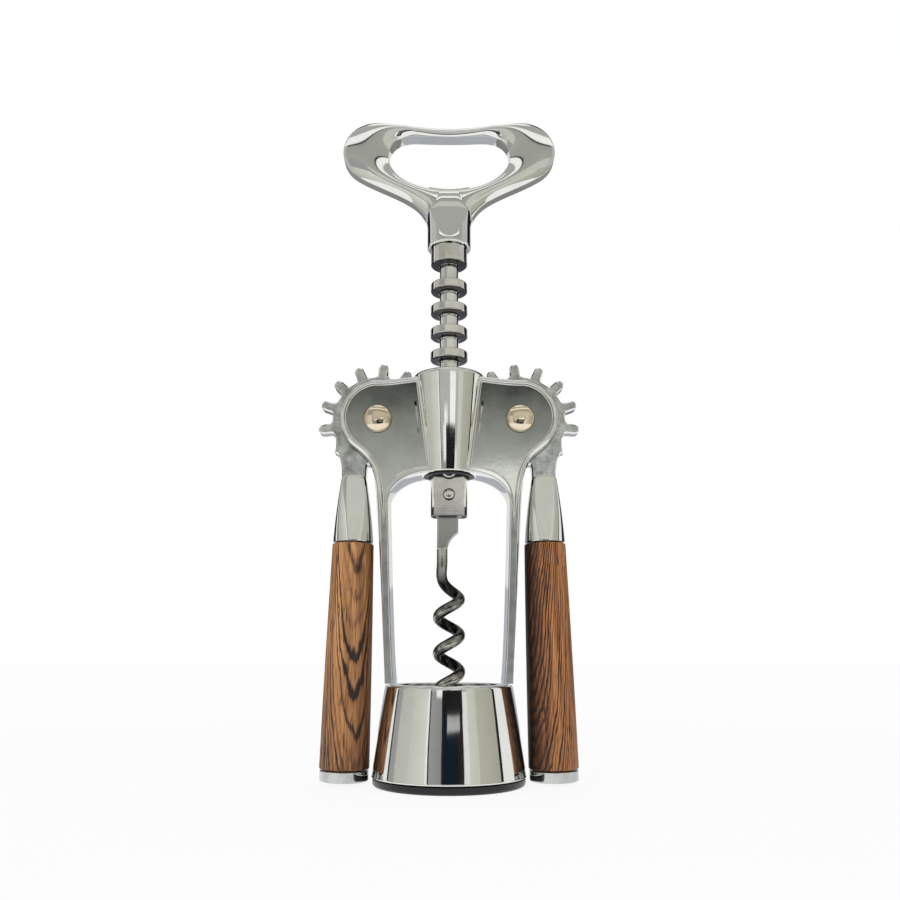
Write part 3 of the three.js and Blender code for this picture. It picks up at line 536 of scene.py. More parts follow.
def combined(made, tool, operation="DIFFERENCE"):
    """Joins or cuts with another solid, which is used up."""
    modifier = made.modifiers.new("combine", "BOOLEAN")
    modifier.operation = operation
    modifier.solver = "EXACT"
    modifier.object = tool
    bpy.context.view_layer.update()
    shaped = made.evaluated_get(bpy.context.evaluated_depsgraph_get())
    mesh = bpy.data.meshes.new_from_object(shaped)
    made.modifiers.clear()
    old = made.data
    made.data = mesh
    bpy.data.meshes.remove(old)
    bpy.data.objects.remove(tool)
    return made


def cut(made, *tools):
    for tool in tools:
        combined(made, tool)
    return made


def gathered(name, *parts):
    """Several shells as one object."""
    sheet = bmesh.new()
    for part in parts:
        sheet.from_mesh(part.data)
    mesh = bpy.data.meshes.new(name)
    sheet.to_mesh(mesh)
    sheet.free()
    for part in parts:
        bpy.data.objects.remove(part)
    made = bpy.data.objects.new(name, mesh)
    bpy.context.scene.collection.objects.link(made)
    return made


def other_finish(made, material, chosen):
    """Gives one more material to the faces of a finished piece that are chosen by normal and centre."""
    made.data.materials.append(material)
    for face in made.data.polygons:
        if chosen(face.normal, face.center / MM):
            face.material_index = len(made.data.materials) - 1


def finished(made, name, body, nodes, material, crease=SMALL_CREASE, lean=None):
    """Scales a solid to metres, smooths it, and puts it in place of its nodes on its body."""
    made.name = name
    made.data.name = name
    made.data.transform(Matrix.Scale(MM, 4))
    made.data.materials.clear()
    made.data.materials.append(material)
    made.data.polygons.foreach_set("material_index", [0] * len(made.data.polygons))
    made.data.shade_smooth()
    made.data.set_sharp_from_angle(angle=math.radians(crease))
    weighted_normals = made.modifiers.new("edge normals", "WEIGHTED_NORMAL")
    weighted_normals.keep_sharp = True
    weighted_normals.weight = 50
    if lean is not None:
        place, tilt = lean
        made.location = Vector(place) * MM
        made.rotation_euler = (0, math.radians(tilt), 0)
    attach(made, body)
    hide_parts(*nodes)
    return made


# Shader maths


class Wire:
    """A node's output that takes part in sums and products with numbers and other outputs."""

    def __init__(self, tree, socket):
        self.tree = tree
        self.socket = socket

    def node(self, kind, settings=None, inputs=None, output=0):
        """Adds any node: its settings first, then the values or links of its sockets."""
        made = self.tree.nodes.new(kind)
        for name, value in (settings or {}).items():
            if name == "stops":
                write_stops(made.color_ramp, value)
            else:
                setattr(made, name, value)
        for name, value in (inputs or {}).items():
            if isinstance(value, Wire):
                self.tree.links.new(value.socket, made.inputs[name])
            else:
                made.inputs[name].default_value = value
        return Wire(self.tree, made.outputs[output])

    def math(self, operation, first, second=0.0):
        return self.node("ShaderNodeMath", {"operation": operation}, {0: first, 1: second})

    def __add__(self, other):
        return self.math("ADD", self, other)

    def __radd__(self, other):
        return self.math("ADD", other, self)

    def __sub__(self, other):
        return self.math("SUBTRACT", self, other)

    def __rsub__(self, other):
        return self.math("SUBTRACT", other, self)

    def __mul__(self, other):
        return self.math("MULTIPLY", self, other)

    def __rmul__(self, other):
        return self.math("MULTIPLY", other, self)

    def __truediv__(self, other):
        return self.math("DIVIDE", self, other)

    def __pow__(self, other):
        return self.math("POWER", self, other)

    def ramp(self, *stops):
        """Grey value that follows the stops of (place, level)."""
        greys = [(place, (level, level, level, 1)) for place, level in stops]
        return self.node("ShaderNodeValToRGB", {"stops": greys}, {0: self})

    def mask(self, low, high):
        """Zero up to one level, and one from another on."""
        return self.ramp((low, 0), (high, 1))

    def colours(self, *stops):
        """Colour that follows the stops of (place, colour)."""
        full = [(place, (*colour, 1)) for place, colour in stops]
        return self.node("ShaderNodeValToRGB", {"stops": full}, {0: self})

    def stretched(self, x, y, z):
        """A vector with its three parts scaled."""
        settings = {"operation": "MULTIPLY"}
        return self.node("ShaderNodeVectorMath", settings, {0: self, 1: (x, y, z)})

    def shifted(self, by):
        return self.node("ShaderNodeVectorMath", {"operation": "ADD"}, {0: self, 1: by})

    def part(self, axis):
        return self.node("ShaderNodeSeparateXYZ", None, {0: self}, axis)

    def noise(self, scale, detail, roughness):
        inputs = {"Vector": self, "Scale": scale, "Detail": detail, "Roughness": roughness}
        return self.node("ShaderNodeTexNoise", None, inputs)

    def blend(self, first, second):
        """Colour between two others, by this value."""
        settings = {"data_type": "RGBA", "clamp_factor": True}
        inputs = {0: self, 6: opaque(first), 7: opaque(second)}
        return self.node("ShaderNodeMix", settings, inputs, 2)


def opaque(colour):
    return colour if isinstance(colour, Wire) else (*tuple(colour)[:3], 1)


def write_stops(ramp, stops):
    while len(ramp.elements) > 1:
        ramp.elements.remove(ramp.elements[-1])
    for index, (place, colour) in enumerate(stops):
        element = ramp.elements[0] if index == 0 else ramp.elements.new(place)
        element.position = place
        element.color = colour


class Finish:
    """A material with one Principled shader, and the coordinates that its patterns start from."""

    def __init__(self, name, metallic, colour, roughness):
        self.material = bpy.data.materials.new(name)
        self.material.use_nodes = True
        tree = self.material.node_tree
        self.shader = tree.nodes["Principled BSDF"]
        values = {"Metallic": metallic, "Base Color": opaque(colour), "Roughness": roughness}
        for socket, value in values.items():
            self.shader.inputs[socket].default_value = value
        places = tree.nodes.new("ShaderNodeTexCoord")
        self.place = Wire(tree, places.outputs["Object"])

    def feed(self, socket, wire):
        wire.tree.links.new(wire.socket, self.shader.inputs[socket])

    def bumps(self, height, strength, distance):
        inputs = {"Height": height, "Strength": strength, "Distance": distance}
        self.feed("Normal", height.node("ShaderNodeBump", None, inputs))

    def height(self):
        """Height in millimetres."""
        return self.place.part(2) * (1 / MM)

    def from_axis(self):
        """Distance from the upright axis, in millimetres."""
        return hypotenuse(self.place.part(0), self.place.part(1)) * (1 / MM)


def hypotenuse(x, y):
    return (x * x + y * y) ** 0.5


def plated(name, colour, shade, roughness, ripple):
    """Polished plating over a casting: slow ripples, faint clouds and fine wiping marks."""
    finish = Finish(name, 1.0, colour, roughness)
    clouds = finish.place.noise(170, 3, 0.6)
    specks = finish.place.noise(2400, 2, 0.5)
    worn = clouds.mask(0.42, 0.75)
    finish.feed("Base Color", worn.blend(colour, shade))
    finish.feed("Roughness", roughness + clouds * 0.035 + specks.ramp((0.6, 0), (0.8, 0.05)))
    waves = finish.place.noise(95, 1, 0.4)
    finish.bumps(waves + specks * 0.01, ripple, 0.0004)
    return finish.material


def painted_reflection_plating(name, colour, shade, roughness, low, high):
    """Plating whose colour darkens upwards between two heights as a painted dark reflection, with faint
    clouds and fine dust.
    """
    finish = Finish(name, 1.0, colour, roughness)
    clouds = finish.place.noise(150, 3, 0.6)
    dust = finish.place.noise(2600, 2, 0.5).mask(0.66, 0.74)
    # Painted reflection: the colour is blended towards the dark shade higher up the field.
    rise = (finish.height() - low) / (high - low) + (clouds - 0.5) * 0.35
    finish.feed("Base Color", rise.mask(0, 1).blend(colour, shade))
    finish.feed("Roughness", roughness + clouds * 0.04 + dust * 0.12)
    finish.bumps(clouds, 0.1, 0.0004)
    return finish.material


def turned_metal(name, colour, shade, roughness, corners=None):
    """Machined metal with fine turning lines round its axis, and painted shade on its downward faces, such
    as under the rings.
    """
    finish = Finish(name, 1.0, colour, roughness)
    lines = finish.place.stretched(60, 60, 9000).noise(1, 2, 0.6)
    clouds = finish.place.noise(260, 3, 0.6)
    bright = clouds.mask(0.35, 0.7).blend(colour, shade)
    # Painted shade: downward faces within the rings' radius are darkened towards the corners colour.
    if corners:
        facing = finish.place.node("ShaderNodeNewGeometry", None, None, "Normal")
        near = (finish.from_axis() / RING_RADIUS).ramp((0.95, 1), (1.0, 0.5))
        under = (facing.part(2) * -1).mask(0.2, 0.6)
        bright = (near * under * 0.97).blend(bright, corners)
    finish.feed("Base Color", bright)
    finish.feed("Roughness", roughness + lines * 0.08)
    finish.bumps(lines, 0.06, 0.0001)
    return finish.material


def satin_metal(name, colour, shade, roughness):
    """Barrel-polished plating: soft reflections under a fine random grain."""
    finish = Finish(name, 1.0, colour, roughness)
    grain = finish.place.noise(3800, 3, 0.6)
    clouds = finish.place.noise(300, 3, 0.6)
    finish.feed("Base Color", clouds.mask(0.38, 0.68).blend(colour, shade))
    finish.feed("Roughness", roughness + clouds * 0.08 + grain * 0.05)
    finish.bumps(grain + clouds * 0.6, 0.16, 0.00012)
    return finish.material


def dark_wire(name, colour, wear_and_highlight, tang):
    """Steel that is satin at the tang and blackened below it, rubbed bright in fine specks, with a painted
    highlight along the outer side of its coils.
    """
    finish = Finish(name, 1.0, colour, 0.2)
    rubbed = finish.place.noise(2600, 4, 0.65)
    patches = finish.place.noise(380, 3, 0.6)
    # Painted highlight: the outer side of each coil is brightened in patches, together with real rubbing,
    # and the tang's own light colour fades down onto the top of the wire as a painted highlight there.
    away = (finish.from_axis() - HELIX_RADIUS) / WIRE_RADIUS
    above = ((finish.height() - TANG_NECK_Z) / 9 + 1).mask(0, 0.95)
    worn = away.ramp((0.45, 0), (1.0, 0.85)) * patches.ramp((0.34, 0.25), (0.6, 1))
    specks = rubbed.ramp((0.58, 0), (0.7, 0.5)) * patches.mask(0.4, 0.6)
    dark = (worn + specks).blend(colour, wear_and_highlight)
    finish.feed("Base Color", above.blend(dark, rubbed.blend(tang, wear_and_highlight)))
    finish.feed("Roughness", 0.1 + rubbed * 0.1 + above * 0.14)
    finish.bumps(rubbed, 0.08, 0.00012)
    return finish.material


def moulded(name, colour, dust, roughness, grain):
    """Moulded rubber or nylon with a fine matt grain."""
    finish = Finish(name, 0.0, colour, roughness)
    fine = finish.place.noise(grain, 3, 0.6)
    broad = finish.place.noise(120, 3, 0.5)
    finish.feed("Base Color", broad.mask(0.4, 0.8).blend(colour, dust))
    finish.feed("Roughness", roughness + fine * 0.12)
    finish.bumps(fine, 0.25, 0.0001)
    return finish.material


def stained(colour, stain):
    return tuple(part * share for part, share in zip(colour, stain))


def figured_wood(name, wood, grip):
    """Striped wood: growth rings round a leaning heart off the grip's axis, with fibres and pores."""
    finish = Finish(name, 0.0, wood.light_colour, 0.45)
    place = finish.place.shifted((0, 0, grip["seed"]))
    height = finish.place.part(2) - grip["level"]
    bend = place.stretched(1, 1, 0.5).noise(30, 1, 0.4) - 0.5
    wobble = place.stretched(1, 1, 0.2).noise(330, 3, 0.6) - 0.5
    x = finish.place.part(0) - grip["heart"][0] + height * grip["lean"][0]
    x = x + bend * (wood.sway * grip["bend"])
    y = finish.place.part(1) - grip["heart"][1] - height * grip["lean"][1]
    radius = hypotenuse(x, y) + wobble * grip["wobble"]
    rings = radius.math("SINE", radius * (2 * math.pi / (wood.ring_spacing * grip["spacing"])))
    uneven = {"W": radius, "Scale": 1150.0}
    strong = radius.node("ShaderNodeTexNoise", {"noise_dimensions": "1D"}, uneven)
    lines = (rings * 0.5 + 0.5) ** 3 * strong.ramp((0.4, 0.2), (0.62, grip["contrast"]))
    fibre = place.stretched(1, 1, 0.03).noise(4200, 4, 0.62)
    streak = place.stretched(1, 1, 0.04).noise(800, 3, 0.65)
    # Painted shade: the grip's inner side, towards the stem, is darkened by the edge amount.
    inner = (finish.place.part(0) * grip["inside"]).mask(0.0024, 0.0058)
    low = ((GRIP_BOTTOM - finish.height()) / 30 + 1).ramp((0, 0), (1, grip["foot"]))
    grain = lines * 0.75 + (streak - 0.5) * 1.1 + (fibre - 0.5) * 0.8
    shade = grain + inner * grip["edge"] + low + grip["depth"]
    tones = (wood.light_colour, wood.middle_colour, wood.dark_colour, wood.heart_colour)
    tones = [stained(tone, grip["stain"]) for tone in tones]
    wood_tone = shade.colours(*zip((0.0, 0.28, 0.58, 0.85), tones))
    pores = place.stretched(1, 1, 0.08).noise(2100, 2, 0.5).mask(0.62, 0.67)
    finish.feed("Base Color", (pores * 0.85).blend(wood_tone, wood.heart_colour))
    finish.feed("Roughness", 0.38 + fibre * 0.2 + pores * 0.2)
    finish.bumps(fibre * 0.4 - pores * 0.9, 0.35, 0.00012)
    finish.shader.inputs["Coat Weight"].default_value = 0.1
    finish.shader.inputs["Coat Roughness"].default_value = 0.3
    return finish.material


# Settings that the sidebar shows


def length(name, description, default):
    return bpy.props.FloatProperty(
        name=name, description=description, default=default, unit="LENGTH", precision=5
    )


def colour(name, description, default):
    return bpy.props.FloatVectorProperty(
        name=name, description=description, default=default, subtype="COLOR", size=3, min=0, max=1
    )


def factor(name, description, default):
    return bpy.props.FloatProperty(
        name=name, description=description, default=default, subtype="FACTOR", min=0, max=1
    )


class MetalSettings(bpy.types.PropertyGroup):
    """Colours and polish of the metals."""

    chrome_colour: colour("Chrome", "Colour of the plated castings", paint(236, 237, 233))
    chrome_shade: colour("Chrome clouds", "Colour of the thin clouds in the plating", paint(229, 230, 226))
    nickel_colour: colour("Nickel", "Colour of the pivot pins", paint(240, 226, 200))
    nickel_shade: colour("Nickel clouds", "Darker tone of the pivot pins", paint(222, 205, 176))
    steel_colour: colour("Steel", "Colour of the stem and rivets", paint(242, 241, 236))
    steel_shade: colour("Steel clouds", "Darker tone of the stem", paint(224, 222, 214))
    # Painted shade: the colour that the stem's downward faces under the rings are darkened to.
    steel_under_shade: colour("Stem corners", "Colour of the dark corners under the rings", paint(22, 23, 25))
    worm_colour: colour("Worm", "Colour of the blackened worm", paint(46, 45, 42))
    # Worm glints: colour of the real rubbed specks, and of the painted highlight along the coils' outer
    # side.
    worm_wear_and_highlight: colour("Worm glints", "Colour where the worm is rubbed bright", paint(206, 204, 196))
    tang_colour: colour("Tang", "Colour of the worm's flat tang", paint(212, 213, 208))
    brass_colour: colour("Brass", "Colour of the thrust washers", paint(214, 186, 120))
    brass_shade: colour("Brass clouds", "Darker tone of the washers", paint(176, 148, 90))
    satin_colour: colour("Satin plating", "Colour of the gear sectors", paint(218, 221, 217))
    satin_shade: colour("Satin clouds", "Darker tone of the gear sectors", paint(158, 162, 160))
    satin_polish: factor("Satin roughness", "Roughness of the gear sectors", 0.14)
    field_colour: colour("Fields", "Colour of the sunk fields of the casting", paint(216, 220, 213))
    # Painted reflection: the dark colour that the fields are painted towards at their top.
    field_painted_reflection: colour("Fields, smoked", "Colour of the fields at their top", paint(44, 48, 50))
    field_polish: factor("Field roughness", "Roughness of the sunk fields", 0.1)
    leg_colour: colour("Legs", "Colour of the legs' flat fronts", paint(206, 208, 205))
    leg_shade: colour("Leg clouds", "Darker tone of the legs' fronts", paint(176, 179, 177))
    leg_polish: factor("Leg roughness", "Roughness of the legs' fronts", 0.3)
    cap_colour: colour("End caps", "Colour of the grips' end caps", paint(206, 208, 206))
    cap_shade: colour("End cap clouds", "Darker tone of the end caps", paint(168, 171, 170))
    polish: factor("Chrome roughness", "Roughness of the plating", 0.035)
    ripple: factor("Ripple", "Strength of the casting's ripples under the plating", 0.12)


class WoodSettings(bpy.types.PropertyGroup):
    """Colours and figure of the wooden grips."""

    light_colour: colour("Light wood", "Colour of the early wood", paint(198, 150, 104))
    middle_colour: colour("Middle wood", "Colour between the rings", paint(160, 114, 72))
    dark_colour: colour("Dark wood", "Colour of the late wood", paint(100, 62, 36))
    heart_colour: colour("Heart lines", "Colour of pores and the darkest lines", paint(38, 22, 12))
    ring_spacing: length("Ring spacing", "Distance between growth rings", 0.00062)
    sway: length("Sway", "How far the rings wander", 0.003)


class SoftSettings(bpy.types.PropertyGroup):
    """Colours of the rubber and nylon."""

    rubber_colour: colour("Rubber", "Colour of the ring under the bell", paint(9, 10, 11))
    rubber_dust: colour("Rubber bloom", "Paler bloom on the rubber", paint(17, 18, 19))
    nylon_colour: colour("Nylon", "Colour of the guide bush", paint(30, 31, 32))
    nylon_dust: colour("Nylon wear", "Paler wear on the bush", paint(46, 47, 48))


class ShapeSettings(bpy.types.PropertyGroup):
    """Sizes of the edges that the castings get."""

    cheek_edge: length("Cheek edge", "Radius of the cheeks' outer edge", 0.001)
    field_edge: length("Field edge", "Radius where the rim rolls into the field", 0.00045)
    gear_edge: length("Gear edge", "Width of the chamfer round the gears", 0.00042)
    handle_edge: length("Handle edge", "Radius of the edge round the handle", 0.0004)
    hole_edge: length("Opening edge", "Radius of the edge round the handle's opening", 0.00035)


class StudioSettings(bpy.types.PropertyGroup):
    """Camera, floor and light."""

    camera_place: bpy.props.FloatVectorProperty(
        name="Camera", description="Place of the camera", size=3,
        default=(0.00027, -0.23573, 0.03219), subtype="TRANSLATION", unit="LENGTH", precision=5,
    )
    camera_tilt: bpy.props.FloatProperty(
        name="Tilt", description="How far the camera looks up",
        default=math.radians(13.2589), subtype="ANGLE", unit="ROTATION",
    )
    lens: bpy.props.FloatProperty(
        name="Lens", description="Focal length in millimetres",
        default=34.8, min=1, subtype="DISTANCE_CAMERA",
    )
    floor_colour: colour("Floor", "Colour of the floor", (0.93, 0.93, 0.93))
    floor_glow: factor("Floor white", "How far the floor shows white instead of its shading", 0.88)
    daylight: factor("Daylight", "Level of the even light from all round", 0.86)
    key_power: bpy.props.FloatProperty(
        name="Key lamp", description="Power of the large soft lamp", default=0.55, min=0, unit="POWER",
    )


# Outlines of the casting


def cheek_edge(inset, bottom):
    """Outer edge of leg, knee, lobe and shoulder on the right, drawn in by an inset."""
    lobe = LOBE_RADIUS - inset
    middle = (LOBE_X, LOBE_Z)
    start, end = -46, 80
    knee_x = KNEE_X - inset
    high = polar(lobe, end, 0, middle)
    edge = Outline(knee_x - LEG_LEAN * (KNEE_Z - bottom), bottom)
    edge.line(knee_x, KNEE_Z)
    edge.curve(
        (knee_x + LEG_LEAN * KNEE_PULL, KNEE_Z + KNEE_PULL),
        polar(lobe, start, -LOBE_PULL, middle),
        polar(lobe, start, 0, middle),
    )
    edge.arc(middle, lobe, start, end)
    edge.curve(
        (high[0] - LOBE_TOP_PULL, high[1]),
        (SHOULDER_X + SHOULDER_PULL, SHOULDER_Z - inset - FIT),
        (SHOULDER_X, SHOULDER_Z - inset),
    )
    return edge


def add_arch(edge, side_inset, top_inset):
    """Arch between the legs, from the right leg's inner side to the middle line."""
    side = WINDOW_X + side_inset
    top = ARCH_TOP + top_inset
    shoulder = (side, half(WINDOW_Z + top) + top_inset)
    edge.curve(shoulder, (side - ARCH_FLAT, top), (ARCH_FLAT, top), 24)


def window_outline():
    edge = Outline(0, FOOT_Z - OVERRUN)
    edge.line(FOOT_INNER, FOOT_Z - OVERRUN)
    edge.line(FOOT_INNER, FOOT_Z + FOOT_HEIGHT)
    edge.bend((FOOT_INNER + 0.9, FOOT_Z + ANKLE_PULL), (WINDOW_X, WINDOW_Z), 20)
    add_arch(edge, 0, 0)
    edge.line(0, ARCH_TOP)
    return mirrored(edge.points)


def boss_radius(height):
    share = (height - BOSS_BOTTOM) / (BOSS_TOP - BOSS_BOTTOM)
    return mixed(BOSS_BOTTOM_RADIUS, BOSS_TOP_RADIUS, share)


def field_outline():
    """Field between the rim and the boss, on the right."""
    inset = EDGE_DRAFT + RIM_WIDTH
    ends = []
    for height in (SHOULDER_Z - inset, ARCH_TOP + inset):
        ends.append((math.sqrt(boss_radius(height) ** 2 - FIELD_FLOOR**2), height))
    edge = cheek_edge(inset, FIELD_TIP_Z)
    arch = Outline(WINDOW_X + EDGE_DRAFT + LEG_RIM, WINDOW_Z)
    add_arch(arch, EDGE_DRAFT + LEG_RIM, inset)
    arch_side = [point for point in arch.points if point[0] > ends[1][0] + FIELD_CORNER]
    outline = without_repeats(edge.points + ends + arch_side[::-1], 0.08)
    nearest = [min(outline, key=lambda point: math.dist(point, end)) for end in ends]
    return rounded(outline, [FIELD_CORNER if point in nearest else 0 for point in outline], 5)


def field_levels(radius):
    """Steps of the field's cutter, from its floor with a small fillet to beyond the surface."""
    levels = []
    for rise, run in quarter(5):
        levels.append((FIELD_FLOOR + FIELD_FILLET * (1 - run), FIELD_FILLET * (1 - rise)))
    return levels + flared_edge(CHEEK_DEPTH, 0, radius, 5)[2:]


def cheeks(shape):
    outer = cheek_edge(0, FOOT_Z)
    outer.line(0, SHOULDER_Z)
    outline = mirrored([(0, FOOT_Z)] + outer.points)
    edge = shape.cheek_edge / MM
    made = lofted(
        "frame_casting", outline, both_ways(cast_edge(CHEEK_DEPTH, EDGE_DRAFT - 0.1, edge)),
        lambda x, z: 1 if z > FOOT_Z + 0.01 else 0,
    )
    combined(made, lofted("window", window_outline(), both_ways(flared_edge(CHEEK_DEPTH, 0.55, 0.5))))
    levels = field_levels(shape.field_edge / MM)
    for outline in (field_outline(), flipped(field_outline())):
        cut(made, lofted("field", outline, to_front(levels)), lofted("field", outline, levels))
    return made


def boss():
    profile = [
        (0, BOSS_BOTTOM),
        (BOSS_BOTTOM_RADIUS, BOSS_BOTTOM),
        (BOSS_TOP_RADIUS, BOSS_TOP),
        (0, BOSS_TOP),
    ]
    return revolved("boss", rounded(profile, [0, 0.45, 1.3, 0], 9, False), 160)


def bell_profile():
    base = BELL_LOW.z
    outer = []
    for step in range(14):
        share = step / 14
        bulge = BELL_BULGE * share * (1 - share)
        radius = mixed(BELL_RADIUS - 0.12, BELL_TOP_RADIUS, share) + bulge
        outer.append((radius, mixed(base + 0.45, BELL_TOP, share)))
    lip = [
        (BELL_RADIUS - BELL_WALL, base),
        (BELL_RADIUS - 0.02, base),
        (BELL_RADIUS - 0.02, base + 0.3),
    ]
    top = [
        (BELL_TOP_RADIUS - 0.02, BELL_TOP),
        (BELL_MOUTH, BELL_TOP),
        (BELL_MOUTH, BELL_TOP - BELL_FLANGE),
        (BELL_TOP_RADIUS - BELL_WALL + 0.3, BELL_TOP - BELL_FLANGE),
    ]
    radii = [0.25, 0.14, 0.1] + [0] * len(outer) + [1.4, 0.35, 0.2, 0.8]
    return rounded(lip + outer + top, radii, 7)


def seal_profile():
    outer = BELL_RADIUS - FIT
    bore = outer - SEAL_WIDTH
    lip = BELL_RADIUS - BELL_WALL - FIT
    points = [
        (bore, 0),
        (outer, 0),
        (outer, SEAL_HEIGHT),
        (lip, SEAL_HEIGHT),
        (lip - SEAL_LEAN, SEAL_TOP),
        (bore, SEAL_TOP),
    ]
    return rounded(points, [0.3, 0.85, 0.15, 0, 0.2, 0.3], 7)


def ring_slots():
    """Cutters of the bores, the gear slots and the slits beside the boss."""
    tools = [
        rod(RING_RADIUS + FIT, ARCH_TOP - OVERRUN, BOSS_TOP + OVERRUN, 96),
        rod(BUSH_RADIUS + FIT, ARCH_TOP - OVERRUN, BOSS_BOTTOM + BUSH_HEIGHT, 96),
        rod(BUSH_FLANGE_RADIUS + FIT, ARCH_TOP - OVERRUN, BOSS_BOTTOM, 96),
    ]
    lean = math.degrees(math.atan((BOSS_TOP_RADIUS - BOSS_BOTTOM_RADIUS) / (BOSS_TOP - BOSS_BOTTOM)))
    across = math.sqrt(half(BOSS_TOP_RADIUS + BOSS_BOTTOM_RADIUS) ** 2 - SLOT_DEPTH**2) + SLIT_SHIFT
    for side in SIDES.values():
        tools.append(cross_bore(GEAR_TIP + TIP_ROOM, SLOT_DEPTH, PIVOT_X * side, PIVOT_Z, 128))
        tools.append(cross_bore(PIN_RADIUS + FIT, CHEEK_DEPTH + OVERRUN, PIVOT_X * side, PIVOT_Z))
        for face in (-1, 1):
            slit = turned(block(SLIT_WIDTH, CHEEK_DEPTH, SLIT_HEIGHT, (0, 0, 0)), "Y", lean * side)
            tools.append(moved(slit, across * side, face * CHEEK_DEPTH, LOBE_Z))
    return tools


# Levers


def axis_at(height):
    """X of the left lever's axis at a height."""
    return -AXIS_FOOT + height * math.tan(math.radians(AXIS_LEAN))


def tooth_flank():
    wide = TOOTH_HALF_WIDTH
    flank = [
        (GEAR_ROOT, wide + 0.7),
        (GEAR_ROOT + 0.14, wide + 0.36),
        (GEAR_ROOT + 0.36, wide + 0.14),
        (GEAR_ROOT + 0.7, wide + 0.03),
    ]
    for rise, run in quarter(6):
        flank.append((GEAR_TIP - wide + wide * rise, max(wide * run, 0.02) ** 0.9))
    return flank


def lever_outline():
    """Gear sector, spur and arm of the left lever, with the pivot at zero."""
    outline = []
    for tooth in range(SECTOR_TEETH):
        angle = TOOTH_PHASE + TOOTH_ANGLE * (tooth - 1)
        flank = tooth_flank()
        outline += [polar(radius, angle, -wide) for radius, wide in flank]
        outline += [polar(radius, angle, wide) for radius, wide in reversed(flank)]
    last_tooth = TOOTH_PHASE + TOOTH_ANGLE * (SECTOR_TEETH - 2)
    root = polar(GEAR_ROOT, last_tooth + half(TOOTH_ANGLE) * 1.1)
    spur = polar(SPUR_RADIUS, SPUR_ANGLE)
    ferrule_x = axis_at(FERRULE_TOP) + PIVOT_X - FERRULE_SHIFT
    ferrule_z = FERRULE_TOP - PIVOT_Z
    end_x = axis_at(PIVOT_Z - ARM_LENGTH) + PIVOT_X
    end_half_width = FERRULE_TOP_WIDE * 0.8
    outer_x = ferrule_x - half(ARM_WIDTH)
    inner_x = ferrule_x + half(ARM_WIDTH)
    arm = Outline(*root)
    arm.bend((root[0] * 0.98, spur[1] * 0.75), spur)
    arm.bend((outer_x, spur[1] - 0.45), (outer_x, ferrule_z))
    arm.line(end_x - end_half_width, -ARM_LENGTH)
    arm.line(end_x + end_half_width, -ARM_LENGTH)
    arm.line(inner_x, ferrule_z)
    hub_end = polar(GEAR_ROOT, -HUB_END_ANGLE)
    arm.bend((inner_x, ferrule_z * 0.9), hub_end)
    arm.arc((0, 0), GEAR_ROOT, -HUB_END_ANGLE, TOOTH_PHASE - TOOTH_ANGLE * 1.5, 20)
    return without_repeats(outline + arm.points, 0.05)


def signed_power(value, power):
    return math.copysign(abs(value) ** power, value)


def ferrule_ring(share, inset, lift, sides=96):
    """Circle at the ferrule's foot, that flattens upwards to a rounded bar with an arched end."""
    flat = share**1.35
    wide = mixed(FERRULE_RADIUS, FERRULE_TOP_WIDE, flat) - inset
    deep = mixed(FERRULE_RADIUS, FERRULE_TOP_DEEP, share) - inset
    power = 2 / mixed(2, FERRULE_SQUARENESS, flat)
    height = mixed(FERRULE_BOTTOM, FERRULE_TOP - FERRULE_ARCH, share) + lift
    ring = []
    for side in range(sides):
        turn = 2 * math.pi * side / sides
        across = signed_power(math.cos(turn), power)
        out = deep * signed_power(math.sin(turn), power)
        arch = FERRULE_ARCH * share**4 * (1 - across**2)
        ring.append((wide * across - FERRULE_SHIFT * flat, out, height + arch))
    return ring


def ferrule():
    """Ferrule and the tang inside the grip, along the lever's own axis."""
    foot = [(0, 0.3, 0), (0, 0.09, 0.09), (0.012, 0, 0.1)]
    wall = [(step / 28, 0, 0) for step in range(1, 28)]
    head = [(1, 0, -0.2), (1, 0.08, -0.05), (1, 0.28, 0), (1, 0.9, 0)]
    outside = skinned("ferrule", [ferrule_ring(*ring) for ring in foot + wall + head], True)
    return gathered("ferrule", outside, rod(SHANK_RADIUS, CAP_BOTTOM + 2, FERRULE_BOTTOM + FIT, 32))


def gear_plate(side, shape):
    """Gear sector, spur and arm of one lever."""
    edge = shape.gear_edge / MM
    face = half(GEAR_THICKNESS)
    steps = [(0, 0), (face - edge, 0), (face - edge * 0.12, edge * 0.78), (face, edge)]
    plate = lofted("gear", lever_outline(), both_ways(steps))
    cut(plate, cross_bore(PIN_RADIUS + FIT, face + OVERRUN, 0, 0))
    moved(plate, -PIVOT_X, 0, PIVOT_Z)
    return on_side(plate, side)


def shank(side):
    return on_side(moved(turned(ferrule(), "Y", AXIS_LEAN), -AXIS_FOOT, 0, 0), side)


def grip_profile():
    points = [(GRIP_BORE, GRIP_BOTTOM), (GRIP_BOTTOM_RADIUS, GRIP_BOTTOM)]
    for step in range(1, 8):
        share = step / 8
        radius = mixed(GRIP_BOTTOM_RADIUS, GRIP_TOP_RADIUS, share) + GRIP_SWELL * share * (1 - share)
        points.append((radius, mixed(GRIP_BOTTOM, GRIP_TOP, share)))
    points += [(GRIP_TOP_RADIUS, GRIP_TOP), (GRIP_BORE, GRIP_TOP)]
    radii = [0.1, 0.4] + [0] * 7 + [0.45, 0.1]
    return rounded(points, radii, 6)


def end_cap_profile():
    radius = GRIP_BOTTOM_RADIUS - END_CAP_INSET
    top = GRIP_BOTTOM - FIT
    points = [(0, CAP_BOTTOM), (radius, CAP_BOTTOM), (radius, top), (0, top)]
    return rounded(points, [0, 0.5, 0.18, 0], 7, False)


# Stem, worm and pins


